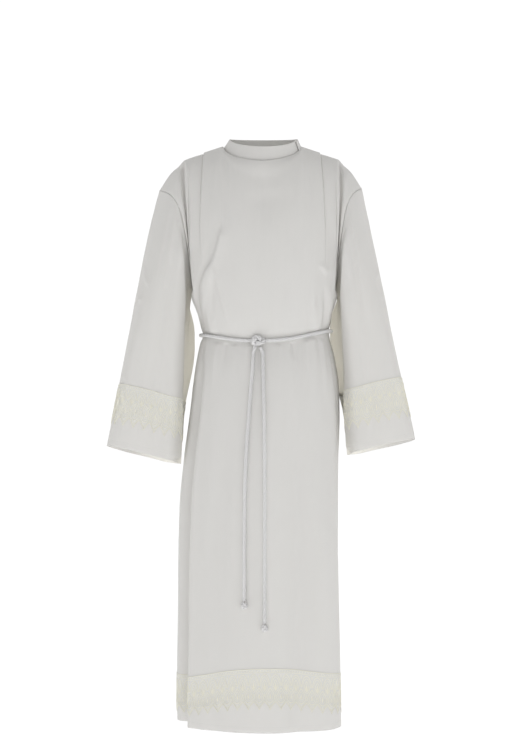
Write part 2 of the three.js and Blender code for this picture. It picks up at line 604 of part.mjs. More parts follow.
// The collar band, from its inner end round to the end that laps over it.
function collarGeometry() {
  const wall = [0, 1].map(() => [[], []]);
  for (let i = 0; i <= COLLAR_STEPS; i += 1) {
    const degrees = COLLAR_LAP.from + ((COLLAR_LAP.to - COLLAR_LAP.from) * i) / COLLAR_STEPS;
    const angle = THREE.MathUtils.degToRad(degrees);
    const lift = COLLAR_LAP.lift * smooth(COLLAR_LAP.rise, COLLAR_LAP.risen, degrees);
    const half = Math.cos(angle) < 0 ? FRONT : BACK;
    const quarter = Math.asin(clamp(Math.sin(angle), -1, 1)) / (Math.PI / 2);
    const base = neckOval(NECK, half, quarter);
    const top = neckOval(COLLAR, half, quarter);
    const out = new THREE.Vector3(Math.sin(angle) / NECK.halfWidth, Math.cos(angle) / NECK.fore, 0);
    out.normalize();
    base.z += COLLAR_SEAT + lift;
    base.addScaledVector(out, -COLLAR_INSET);
    [base, top].forEach((point, row) => {
      wall[0][row].push(point.clone().addScaledVector(out, lift));
      wall[1][row].push(point.clone().addScaledVector(out, lift - COLLAR_CLOTH));
    });
  }
  return wallBetween(wall[0], wall[1], false);
}

// A round cord along a list of points.
function cordGeometry(points, steps) {
  const section = new THREE.Shape();
  for (let i = 0; i <= CORD_SIDES; i += 1) {
    const angle = (2 * Math.PI * i) / CORD_SIDES;
    const x = CORD_RADIUS * Math.cos(angle);
    const y = CORD_RADIUS * Math.sin(angle);
    if (i === 0) section.moveTo(x, y);
    else section.lineTo(x, y);
  }
  const extrudePath = new THREE.CatmullRomCurve3(points, false, "centripetal");
  return new THREE.ExtrudeGeometry(section, { extrudePath, steps, bevelEnabled: false, curveSegments: 1 });
}

// A point that lies off the cloth by lift, measured along its normal.
function offCloth(half, s, t, lift) {
  const surface = (u, v) => smoothBody(half, u, v);
  const normal = normalOf(surface, s, t, BODY_STEP, BODY_RANGE, signOf(half));
  return surface(s, t).addScaledVector(normal, lift);
}

// The belt cord, once round the waist from one side of the knot to the other.
function beltPoints() {
  const lift = CORD_RADIUS + CORD_LIFT;
  const steps = BELT_POINTS;
  const points = [];
  const lay = (half, from, to, first, last) => {
    for (let i = first; i <= last; i += 1) {
      points.push(offCloth(half, from + ((to - from) * i) / steps, BELT_ROW, lift));
    }
  };
  lay(FRONT, KNOT.s + KNOT_HALF_TURN, 1, 0, steps);
  lay(BACK, 1, 0, 1, steps);
  lay(BACK, 0, -1, 1, steps - 1);
  lay(FRONT, -1, KNOT.s - KNOT_HALF_TURN, 0, steps);
  return points;
}

// The knot: a flattened ball with slanting grooves where the cord crosses itself.
function knotGeometry() {
  const geometry = new THREE.SphereGeometry(1, KNOT_MESH.sides, KNOT_MESH.rings);
  const place = geometry.getAttribute("position");
  for (let i = 0; i < place.count; i += 1) {
    const [x, y, z] = [place.getX(i), place.getY(i), place.getZ(i)];
    const wave = Math.cos(KNOT.grooves * (Math.atan2(z, x) + y));
    const groove = 1 - (KNOT.grooveDepth * Math.hypot(x, z) * (1 + wave)) / 2;
    place.setXYZ(i, x * KNOT.width * groove, y * KNOT.depth * groove, z * KNOT.height * groove);
  }
  return geometry;
}
function knotCentre() {
  return offCloth(FRONT, KNOT.s, BELT_ROW, KNOT.depth + LAID_LIFT + SEAM_GAP);
}

const cloth = () => new THREE.MeshStandardMaterial({ color: 0xf1f0ee, roughness: 0.85, metalness: 0 });
const lace = () => new THREE.MeshStandardMaterial({ color: 0xe9e6d6, roughness: 0.8, metalness: 0 });
const cord = () => new THREE.MeshStandardMaterial({ color: 0xf4f4f6, roughness: 0.7, metalness: 0 });

const alb = new THREE.Group();
function add(name, geometry, material) {
  const mesh = new THREE.Mesh(geometry, material);
  mesh.name = name;
  alb.add(mesh);
  return mesh;
}

for (const half of [FRONT, BACK]) {
  const grid = panelGrid(half);
  const laceRows = [LACE_TOP_ROW, LACE_NOTCH_ROW, LACE_POINT_ROW];
  const [top, notch, point] = laceRows.map((t) => ROWS.indexOf(t));
  const inner = movedIn(grid.points, grid.normals, CLOTH);
  add(`${half}_panel`, wallBetween(grid.points, inner, false), cloth());
  add(`hem_lace_${half}`, laceOn(grid, { top, notch, point }, false), lace());
}
for (const sleeve of SLEEVES) {
  const grid = sleeveGrid(sleeve);
  const top = SLEEVE_UPPER_ROWS.length;
  const inner = movedIn(grid.points, grid.normals, CLOTH);
  add(`${sleeve.name}_sleeve`, wallBetween(grid.points, inner, true), cloth());
  add(`${sleeve.name}_cuff_lace`, laceOn(grid, { top, notch: top + 1, point: top + 2 }, true), lace());
}
add("collar", collarGeometry(), cloth());
add("belt_cord", cordGeometry(beltPoints(), BELT_STEPS), cord());
add("belt_knot", knotGeometry(), cord()).position.copy(knotCentre());
for (const [name, route] of Object.entries(TAILS)) {
  const points = route.map(({ x, y, z }) => new THREE.Vector3(x, y, z));
  add(`belt_end_${name}`, cordGeometry(points, TAIL_STEPS), cord());
  const end = points[points.length - 1];
  const knot = new THREE.SphereGeometry(END_KNOT.radius, END_KNOT.sides, END_KNOT.rings);
  knot.scale(1, 1, END_KNOT.height / END_KNOT.radius);
  const tip = new THREE.Vector3(0, -END_KNOT.radius / 2, END_KNOT.seat - END_KNOT.height);
  add(`belt_end_${name}_knot`, knot, cord()).position.copy(end).add(tip);
}

export default alb;
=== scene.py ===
"""A white alb with lace bands and a twisted rope belt, shaped as it hangs on a wearer's shoulders.

The forms are worked out in millimetres, in the frame's axes: +Z up, -Y the front, +X the wearer's left.
A place on the body cloth is s, the column from -1 at the -X side seam to 1 at the +X one, and t, the
section from -1 at the neck and shoulder seams over 0 at the underarm to the last row of SECTIONS. A
place on a sleeve is a, the share of the way round it, and q, the share of the way to the cuff.
"""

import math

import bpy
import numpy as np
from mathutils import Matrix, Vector


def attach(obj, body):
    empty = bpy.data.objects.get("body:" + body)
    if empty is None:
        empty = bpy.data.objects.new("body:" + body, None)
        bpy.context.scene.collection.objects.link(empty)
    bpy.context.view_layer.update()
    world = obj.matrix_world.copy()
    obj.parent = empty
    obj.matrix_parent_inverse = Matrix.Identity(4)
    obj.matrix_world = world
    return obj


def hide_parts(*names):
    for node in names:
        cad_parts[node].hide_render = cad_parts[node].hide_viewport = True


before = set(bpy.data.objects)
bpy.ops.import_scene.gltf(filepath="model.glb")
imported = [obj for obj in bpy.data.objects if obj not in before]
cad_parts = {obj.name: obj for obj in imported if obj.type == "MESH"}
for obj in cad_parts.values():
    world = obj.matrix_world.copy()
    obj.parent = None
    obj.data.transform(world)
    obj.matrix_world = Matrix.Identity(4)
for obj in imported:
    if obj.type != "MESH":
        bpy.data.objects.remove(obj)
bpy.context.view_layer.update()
MM = 0.001

# Camera. The photograph looks along +Y, level, at 2.4 mm to a pixel in the plane of the shoulders.
CAMERA = {"place": (-0.0036, -4.0, -0.54), "lens": 80, "sensor": 36}

# Room. The floor glows a little, so that it is as pale as the room.
FLOOR_Z = -1.52
FLOOR_COLOUR, FLOOR_GLOW, FLOOR_REACH = (0.5, 0.5, 0.5, 1), 0.7, 200
ROOM = {"From Min": -0.3, "From Max": 0.6, "To Min": 0.48, "To Max": 1.04}  # its light, from front to back
BACKDROP = 1.05  # its brightness as it is seen, which is white on every side

FRONT, BACK = "front", "back"
FACING = {FRONT: -1, BACK: 1}


def table(columns, rows):
    """Rows of values as dictionaries with the named columns."""
    return [dict(zip(columns, row)) for row in rows]


LIGHTS = table(["name", "place", "aim", "size", "power"], [
    ["key_left", (-2.4, -1.8, 1.4), (0, 0, -0.5), (1.2, 1.6), 2],
    ["fill_right", (2.6, -1.4, 0.8), (0, 0, -0.5), (1.2, 1.6), 5],
    ["low_front", (0, -2.6, -1.1), (0, 0, -1.25), (2.4, 0.3), 10],
])

# Sizes of the garment, in millimetres
CLOTH = 0.8
SEAM_GAP = 0.4
SLEEVE_GAP = 0.6
SLEEVE_DROP = 0.2
CORD_RADIUS = 4.5
CORD_LIFT = 1.5
LAID_LIFT = 0.8
LACE_PITCH = 25
LACE_NOTCH, LACE_POINT = 75, 98  # depths of the lace's notches and points below its top edge

SECTIONS = table(["name", "side", "front", "back", "minusX", "plusX", "fore", "aft", "tilt"], [
    ["underarm", -335, -335, -335, 165, 175, 138, 126, 0],
    ["ribs", -385, -390, -382, 154, 169, 135, 121, 2],
    ["over belt", -422, -438, -416, 146, 164, 127, 114, 5],
    ["belt", -440, -460, -434, 141, 160, 119, 106, 5],
    ["under belt", -460, -482, -454, 148, 163, 125, 112, 5],
    ["hip top", -505, -525, -498, 157, 175, 136, 122, 3],
    ["hip", -565, -580, -560, 165, 184, 144, 130, 0],
    ["thigh", -640, -650, -640, 174, 186, 150, 136, 0],
    ["mid thigh", -740, -745, -740, 187, 183, 156, 142, 0],
    ["knee", -850, -850, -850, 197, 182, 161, 146, 0],
    ["calf", -970, -965, -970, 200, 182, 165, 149, 0],
    ["low calf", -1120, -1095, -1100, 201, 183, 169, 151, 2],
    ["lace top", -1245, -1214, -1220, 203, 184, 173, 154, 6],
    ["lace notch", -1316, -1287, -1293, 203, 184, 175, 155, 5],
    ["lace point", -1338, -1309, -1315, 203, 184, 176, 156, 4],
    ["hem", -1362, -1362, -1362, 203, 185, 177, 156, 0],
])
SECTION_NAMES = [section["name"] for section in SECTIONS]
BELT_ROW = SECTION_NAMES.index("belt")
LACE_TOP_ROW = SECTION_NAMES.index("lace top")
LACE_NOTCH_ROW = SECTION_NAMES.index("lace notch")
LACE_POINT_ROW = SECTION_NAMES.index("lace point")
HEM_ROW = SECTION_NAMES.index("hem")
ROUNDNESS = 0.87  # below 1, the body's and cuffs' ovals are squarer
MIDDLE_POWER = 3  # how much of the belt's dip is near the middle

NECK = {"centreX": -0.5, "halfWidth": 93, "fore": 85, "aft": 62, "sideZ": 6, "frontZ": -37, "backZ": 0}
NECK_SHARE = 0.34

SHOULDER_SEAM = table(["at", "x", "z"], [
    [NECK_SHARE, 93, NECK["sideZ"]],
    [0.6, 139, -9],
    [0.76, 165, -17],
    [0.87, 186, -25],
    [0.91, 200, -40],
    [0.95, 218, -56],
    [1, 245, -96],
])
ARMHOLE = table(["at", "x", "reach", "z"], [
    [0, 245, 0, -96],
    [0.2, 219, 38, -110],
    [0.4, 197, 57, -142],
    [0.6, 184, 60, -195],
    [0.8, 174, 42, -262],
    [1, 165, 0, -335],
])
PLUS_X_ARMHOLE = {"tipX": 239, "rise": 4}
ARMHOLE_ZONE = 0.78
YOKE_LEAD = {
    FRONT: table(["at", "out", "down"], [[0, 75, 150], [NECK_SHARE, 250, 60], [1, 230, 70]]),
    BACK: table(["at", "out", "down"], [[0, 130, 110], [NECK_SHARE, 240, 60], [1, 220, 70]]),
}
YOKE_FALL = 300  # slope of the yoke where it reaches the underarm
CORNER_SPREAD = 0.16  # how far to the sides the neck's corner is averaged out
CORNER_GROW, CORNER_ZONE = (-1, -0.75), (0.55, 0.8)  # in t and s
PLEAT = {"at": 0.6, "edge": 0.006, "height": 2.8, "groove": 1.6, "open": -0.45, "gone": -0.1}
GROOVE_AT = 1.3  # the middle of the groove beside a pleat, in widths of the pleat's edge

NEVER = (90, 99)  # a fade beyond the hem
FOLD_COLUMNS = ["rise", "width", "t", "s", "grow", "fade", "close"]
BODY_FOLDS = {
    FRONT: table(FOLD_COLUMNS, [
        [8, 0.1, [-1, 1], [-0.81, -0.83], (-0.94, -0.7), (0, 2), 0],
        [8, 0.1, [-1, 1], [0.81, 0.83], (-0.94, -0.7), (0, 2), 0],
        [7, 0.06, [4, 15], [-0.57, -0.6], (3.4, 11), NEVER, 0],
        [-54, 0.08, [4, 15], [-0.73, -0.765], (3.4, 11), NEVER, 0.1],
        [8, 0.07, [4, 15], [0.64, 0.7], (3.4, 11), NEVER, 0],
        [-30, 0.05, [4, 15], [0.78, 0.84], (3.4, 11), NEVER, 0.2],
        [-5, 0.05, [-0.45, -0.2, 0, 2.8], [-0.36, -0.5, -0.7, -0.84], (-0.5, -0.2), (1.5, 2.9), 0],
        [6, 0.06, [-0.2, 3], [-0.58, -0.56], (-0.3, 1.5), (2.2, 2.95), 0],
        [5, 0.06, [-0.1, 3], [0.62, 0.55], (-0.3, 1.5), (2.2, 2.95), 0],
        [-5, 0.05, [3, 6], [0.32, 0.3], (3.05, 3.9), (4.5, 7), 0],
        [5, 0.06, [3, 7], [0.46, 0.44], (3.05, 4), (5, 8), 0],
        [5, 0.14, [5, 15], [0.03, 0.06], (4, 8), NEVER, 0],
        [-6, 0.09, [5, 15], [0.22, 0.26], (4.5, 9), NEVER, 0],
        [25, 0.18, [5, 15], [0.5, 0.55], (4, 12), NEVER, 0],
        [-6, 0.11, [5, 15], [-0.27, -0.3], (5, 10), NEVER, 0],
    ]),
    BACK: table(FOLD_COLUMNS, [
        [8, 0.1, [-1, 1], [-0.81, -0.83], (-0.94, -0.7), (0, 2), 0],
        [8, 0.1, [-1, 1], [0.81, 0.83], (-0.94, -0.7), (0, 2), 0],
        [10, 0.08, [4, 15], [-0.58, -0.64], (3.4, 11), NEVER, 0],
        [-30, 0.06, [4, 15], [-0.74, -0.79], (3.4, 11), NEVER, 0.3],
        [10, 0.08, [4, 15], [0.6, 0.66], (3.4, 11), NEVER, 0],
        [-34, 0.06, [4, 15], [0.74, 0.79], (3.4, 11), NEVER, 0.3],
        [-18, 0.08, [3.5, 15], [-0.3, -0.36], (3.3, 11), NEVER, 0.2],
        [9, 0.09, [3.5, 15], [-0.1, -0.12], (3.3, 11), NEVER, 0],
        [-16, 0.08, [3.5, 15], [0.1, 0.12], (3.3, 11), NEVER, 0.2],
        [9, 0.09, [3.5, 15], [0.32, 0.37], (3.3, 11), NEVER, 0],
    ]),
}
SEAM_FADE = 0.94

SLEEVES = [
    {"name": "right", "side": -1, "outer": (370, -710), "inner": (199, -752), "lead": 150, "end": 118},
    {"name": "left", "side": 1, "outer": (367, -694), "inner": (208, -730), "lead": 118, "end": 138},
]
CUFF = {"centreY": -8, "halfDepth": 67, "drop": 16}
SLEEVE_LEAD = table(["at", "x", "y", "z"], [[0, 1, 0, -520], [0.5, 1, 95, -420], [1, 0.4, 0, -300]])
SLEEVE_END = table(["at", "x", "z"], [[0, 1, -560], [1, 0.08, -380]])
SLEEVE_FOLDS = table(["at", "drift", "rise", "width", "from", "full"], [
    [0.36, 0.02, 6, 0.035, 0.05, 0.35],
    [0.27, 0.01, -5, 0.04, 0.1, 0.4],
    [0.14, -0.02, 4, 0.05, 0.2, 0.6],
    [0.56, 0, 9, 0.045, 0.2, 0.5],
    [0.64, 0.01, -8, 0.04, 0.15, 0.5],
    [0.74, 0, 6, 0.05, 0.1, 0.5],
    [0.84, -0.01, -7, 0.045, 0.15, 0.6],
])
CUFF_LACE = {"top": 150, "notch": 75, "point": 52}  # distances above the cuff edge

COLLAR = {"centreX": 2.5, "halfWidth": 80, "fore": 74, "aft": 54, "sideZ": 26, "frontZ": -1, "backZ": 31}
COLLAR_LAP = {"from": 78, "to": 468, "rise": 428, "risen": 452, "lift": 3.4}
COLLAR_TUCK = 2  # how far its lower edge is below the neck seam, inside it
COLLAR_INSET = 1.4

KNOT = {"s": -0.03, "depth": 12, "reach": (14, 7, 10), "rope": 4.4}
KNOT_HALF_TURN = 0.045  # how far from the knot's middle the belt's ends are, in s
BELT_POINTS = 16

# Routes of the belt's hanging ends, in millimetres
TAILS = {
    "short": [
        (-16, -132.1, -473.3), (-20, -132.2, -489), (-20.7, -135.8, -502.3), (-21.6, -139.6, -517),
        (-22.6, -142.8, -532), (-24, -145.6, -548), (-25.5, -148.2, -566), (-28.5, -152.4, -604),
        (-32, -156, -650), (-36, -159.5, -706), (-38.7, -162.5, -768), (-40.3, -165.3, -833),
        (-41, -167.9, -901), (-41.2, -170.2, -974), (-41.3, -171.5, -1018), (-41.3, -172.8, -1059.5),
    ],
    "long": [
        (-4.2, -132.1, -475.1), (1.6, -132.5, -489), (2, -136.4, -502), (2.3, -140.4, -517),
        (2.6, -143.8, -532), (2.9, -146.9, -548), (3.2, -149.8, -566), (4, -154.9, -604),
        (4.8, -159.5, -650), (5.4, -163.8, -706), (5.8, -167.4, -768), (5.9, -170.5, -833),
        (5.8, -173, -901), (5.7, -175.5, -974), (5.7, -177.4, -1040), (5.7, -179.2, -1090),
        (5.7, -179.8, -1110.5),
    ],
}
END_KNOT = {"radius": 9, "height": 10, "seat": 0.3, "reach": (5.6, 5, 6.6), "rope": 3.3}


# Curves

def smooth(low, high, x):
    u = np.clip((np.asarray(x, float) - low) / (high - low), 0, 1)
    return u * u * (3 - 2 * u)


def cubic(a, da, b, db, u, span=1):
    """A cubic from a with slope da to b with slope db, over a span."""
    u2, u3 = u * u, u * u * u
    ends = a * (2 * u3 - 3 * u2 + 1) + b * (3 * u2 - 2 * u3)
    return ends + span * (da * (u3 - 2 * u2 + u) + db * (u3 - u2))


class Curve:
    """A smooth curve through values at the places at, which doesn't overshoot between them."""

    def __init__(self, at, values):
        self.at = np.array(at, float)
        self.values = np.array(values, float)
        rise = np.diff(self.values) / np.diff(self.at)
        before, after = rise[:-1], rise[1:]
        both = before * after
        total = np.where(both > 0, before + after, 1)
        self.slopes = np.concatenate([rise[:1], np.where(both > 0, 2 * both / total, 0), rise[-1:]])

    def __call__(self, place):
        i = np.clip(np.searchsorted(self.at, place) - 1, 0, len(self.at) - 2)
        span = self.at[i + 1] - self.at[i]
        u = np.clip((place - self.at[i]) / span, 0, 1)
        return cubic(self.values[i], self.slopes[i], self.values[i + 1], self.slopes[i + 1], u, span)


def curves(rows, at=None):
    """A Curve for each numeric column of a table, over its column at or over the given places."""
    places = [row["at"] for row in rows] if at is None else at
    keys = [key for key, value in rows[0].items() if key != "at" and not isinstance(value, str)]
    return {key: Curve(places, [row[key] for row in rows]) for key in keys}


SECTION = curves(SECTIONS, range(len(SECTIONS)))
SHOULDER = curves(SHOULDER_SEAM)
HOLE = curves(ARMHOLE)
LEAD = {half: curves(rows) for half, rows in YOKE_LEAD.items()}
ARM_LEAD = curves(SLEEVE_LEAD)
ARM_END = curves(SLEEVE_END)


def vector(x, y, z):
    return np.stack(np.broadcast_arrays(x, y, z), axis=-1)


def unit(v):
    return v / np.maximum(np.linalg.norm(v, axis=-1, keepdims=True), 1e-9)


def run_lengths(points):
    """How far along a line of points each of them is."""
    return np.concatenate([[0], np.cumsum(np.linalg.norm(np.diff(points, axis=0), axis=1))])


CURVE_STEPS = 16


def along_curve(points, step):
    """Points at even steps on a smooth curve through the given ones."""
    points = np.array(points, float)
    ahead = np.concatenate([[2 * points[0] - points[1]], points, [2 * points[-1] - points[-2]]])
    u = np.linspace(0, 1, CURVE_STEPS, endpoint=False)[:, None]
    pieces = []
    for i in range(1, len(points)):
        a, b, c, d = ahead[i - 1:i + 3]
        pieces.append(0.5 * (2 * b + (c - a) * u + (2 * a - 5 * b + 4 * c - d) * u ** 2
                             + (3 * b - a - 3 * c + d) * u ** 3))
    fine = np.concatenate([*pieces, points[[-1]]])
    lengths = run_lengths(fine)
    count = max(2, round(lengths[-1] / step))
    even = np.linspace(0, lengths[-1], count + 1)
    return np.stack([np.interp(even, lengths, fine[:, k]) for k in range(points.shape[1])], axis=1)


# The cloth without folds

def ring_point(half, s, t):
    """The body below the underarm."""
    turn = s * math.pi / 2
    sine, cosine = np.abs(np.sin(turn)), np.maximum(np.cos(turn), 0)
    reach = np.where(s < 0, SECTION["minusX"](t), SECTION["plusX"](t))
    depth = SECTION["fore" if half == FRONT else "aft"](t)
    side = SECTION["side"](t)
    height = side + (SECTION[half](t) - side) * cosine ** MIDDLE_POWER + SECTION["tilt"](t) * np.sin(turn)
    x = np.sign(s) * sine ** ROUNDNESS * reach
    return vector(x, FACING[half] * cosine ** ROUNDNESS * depth, height)


def neck_oval(oval, half, quarter):
    turn = quarter * math.pi / 2
    cosine = np.maximum(np.cos(turn), 0)
    depth, middle = (oval["fore"], oval["frontZ"]) if half == FRONT else (oval["aft"], oval["backZ"])
    x = oval["centreX"] + oval["halfWidth"] * np.sin(turn)
    return vector(x, FACING[half] * depth * cosine, oval["sideZ"] + (middle - oval["sideZ"]) * cosine)


def top_point(half, s):
    """Where column s starts: on the neck seam near the middle, on the shoulder seam further out."""
    share = np.abs(s)
    side = np.sign(s)
    neck = neck_oval(NECK, half, np.clip(s / NECK_SHARE, -1, 1))
    x = side * SHOULDER["x"](share) + NECK["centreX"] * (1 - smooth(NECK_SHARE, 1, share))
    shoulder = vector(x, 0, SHOULDER["z"](share))
    return np.where((share <= NECK_SHARE)[..., None], neck, shoulder)


def armhole_point(half, side, w):
    """The armhole seam, w from the shoulder tip to the underarm. side is -1, or 1 at +X."""
    x, z = HOLE["x"](w), HOLE["z"](w)
    tip, underarm, other = ARMHOLE[0]["x"], ARMHOLE[-1]["x"], SECTIONS[0]["plusX"]
    plus_x = other + (x - underarm) * (PLUS_X_ARMHOLE["tipX"] - other) / (tip - underarm)
    x = np.where(side > 0, plus_x, x)
    z = np.where(side > 0, z + PLUS_X_ARMHOLE["rise"] * (1 - w), z)
    return vector(side * x, FACING[half] * HOLE["reach"](w), z)


def yoke_top(half, s, t):
    """Where column s starts, averaged with its neighbours further down, where the neck's corner dies out."""
    reach = CORNER_SPREAD * smooth(*CORNER_GROW, t) * (1 - smooth(*CORNER_ZONE, np.abs(s)))
    weights = [(-1, 1), (-0.5, 2), (0, 3), (0.5, 2), (1, 1)]
    total = sum(weight for at, weight in weights)
    return sum(weight * top_point(half, np.clip(s + at * reach, -1, 1)) for at, weight in weights) / total


def yoke_column(half, s, t):
    share = np.abs(s)
    top = yoke_top(half, s, t)
    out, down = LEAD[half]["out"](share), LEAD[half]["down"](share)
    start = vector(0, FACING[half] * out, -down)
    end = ring_point(half, s, np.zeros_like(s))
    fall = YOKE_FALL * unit(ring_point(half, s, np.ones_like(s)) - end)
    return cubic(top, start, end, fall, (t + 1)[..., None])


def yoke_point(half, s, t):
    side = np.where(s < 0, -1.0, 1.0)
    pull = armhole_point(half, side, t + 1) - yoke_column(half, side, t)
    return yoke_column(half, s, t) + pull * smooth(ARMHOLE_ZONE, 1, np.abs(s))[..., None]


def smooth_body(half, s, t):
    s, t = np.broadcast_arrays(np.asarray(s, float), np.asarray(t, float))
    upper = yoke_point(half, s, np.clip(t, -1, 0))
    lower = ring_point(half, s, np.clip(t, 0, HEM_ROW))
    return np.where((t < 0)[..., None], upper, lower)


def normal_of(surface, u, v, step, ranges, outward):
    """The outward normal of a surface given as a function of two places, each kept inside its range."""
    low_u, high_u = np.clip(u - step[0], *ranges[0]), np.clip(u + step[0], *ranges[0])
    low_v, high_v = np.clip(v - step[1], *ranges[1]), np.clip(v + step[1], *ranges[1])
    across = surface(high_u, v) - surface(low_u, v)
    along = surface(u, high_v) - surface(u, low_v)
    return unit(np.cross(across, along)) * outward


BODY_STEP, BODY_RANGE = (0.006, 0.03), ((-1, 1), (-1, HEM_ROW))
SLEEVE_STEP, SLEEVE_RANGE = (0.008, 0.01), ((-9, 9), (0, 1))
FINE_STEP = 0.4  # part of those steps that shows the small creases


def body_normal(half, s, t):
    """The normal of the cloth without folds."""
    return normal_of(lambda u, v: smooth_body(half, u, v), s, t, BODY_STEP, BODY_RANGE, FACING[half])


STRAIGHT_ZONE, STRAIGHT_FADE = (0.72, 0.84), (-0.2, 0.6)  # in s and t


def fold_direction(half, s, t, normal):
    """Which way a fold stands: off the cloth, and beside the armholes straight forward or back."""
    turn = smooth(*STRAIGHT_ZONE, np.abs(s)) * (1 - smooth(*STRAIGHT_FADE, t))
    straight = vector(0 * turn, FACING[half] + 0 * turn, 0 * turn)
    return unit(normal * (1 - turn[..., None]) + straight * turn[..., None])


def fold_body(half, s, t):
    """The cloth with the pleats and large folds of the solid model."""
    point = smooth_body(half, s, t)
    normal = fold_direction(half, s, t, body_normal(half, s, t))
    facing = FACING[half]
    along = unit(vector(-facing * normal[..., 1], facing * normal[..., 0], 0 * normal[..., 0]))
    on_pleat = 1 - smooth(PLEAT["at"], PLEAT["at"] + PLEAT["edge"], np.abs(s))
    beside = (np.abs(s) - PLEAT["at"] - GROOVE_AT * PLEAT["edge"]) / PLEAT["edge"]
    pressed = 1 - smooth(PLEAT["open"], PLEAT["gone"], t)
    out = (PLEAT["height"] * on_pleat - PLEAT["groove"] * np.exp(-beside * beside)) * pressed
    draw = np.zeros_like(out)
    seam_fade = 1 - smooth(SEAM_FADE, 1, np.abs(s))
    for fold in BODY_FOLDS[half]:
        away = (s - np.interp(t, fold["t"], fold["s"])) / fold["width"]
        strength = smooth(*fold["grow"], t) * (1 - smooth(*fold["fade"], t))
        bell = np.exp(-away * away) * fold["rise"] * strength * seam_fade
        out = out + bell
        draw = draw + fold["close"] * bell * away ** 3
    return point + normal * out[..., None] + along * draw[..., None]


def smooth_sleeve(sleeve, a, q):
    a, q = np.broadcast_arrays(np.asarray(a, float), np.asarray(q, float))
    turn = a - np.floor(a)
    is_front = turn <= 0.5
    w = np.where(is_front, turn * 2, (1 - turn) * 2)
    side = float(sleeve["side"])
    facing = np.where(is_front, -1.0, 1.0)
    start = armhole_point(FRONT, side, w)
    start = vector(start[..., 0], facing * HOLE["reach"](w), start[..., 2])
    (outer_x, outer_z), (inner_x, inner_z) = sleeve["outer"], sleeve["inner"]
    middle_x, middle_z = (outer_x + inner_x) / 2, (outer_z + inner_z) / 2
    cosine = np.cos(w * math.pi)
    reach = np.abs(cosine) ** ROUNDNESS * np.sign(cosine)
    depth = facing * np.maximum(np.sin(w * math.pi), 0) ** ROUNDNESS
    cuff = vector(
        side * (middle_x + (outer_x - middle_x) * reach),
        CUFF["centreY"] + CUFF["halfDepth"] * depth,
        middle_z + (outer_z - middle_z) * reach - CUFF["drop"] / 2 * depth,
    )
    lead = vector(side * sleeve["lead"] * ARM_LEAD["x"](w), facing * ARM_LEAD["y"](w), ARM_LEAD["z"](w))
    end = vector(side * sleeve["end"] * ARM_END["x"](w), 0, ARM_END["z"](w))
    return cubic(start, lead, cuff, end, q[..., None])


def sleeve_normal(sleeve, a, q):
    """The normal of the sleeve without folds."""
    side = sleeve["side"]
    return normal_of(lambda u, v: smooth_sleeve(sleeve, u, v), a, q, SLEEVE_STEP, SLEEVE_RANGE, side)


def fold_sleeve(sleeve, a, q):
    out = 0
    for fold in SLEEVE_FOLDS:
        away = a - np.floor(a) - (fold["at"] + fold["drift"] * q)
        grown = smooth(fold["from"], fold["full"], q)
        out = out + np.exp(-((away / fold["width"]) ** 2)) * fold["rise"] * grown
    return smooth_sleeve(sleeve, a, q) + sleeve_normal(sleeve, a, q) * out[..., None]


# Fine creases. A crease runs through its points. rise is outwards, in millimetres, and left and
# right are its widths on either side as it is followed down. It fades in and out over the shares of its
# length start and end.

CREASE_COLUMNS = ["rise", "left", "right", "start", "end", "points"]

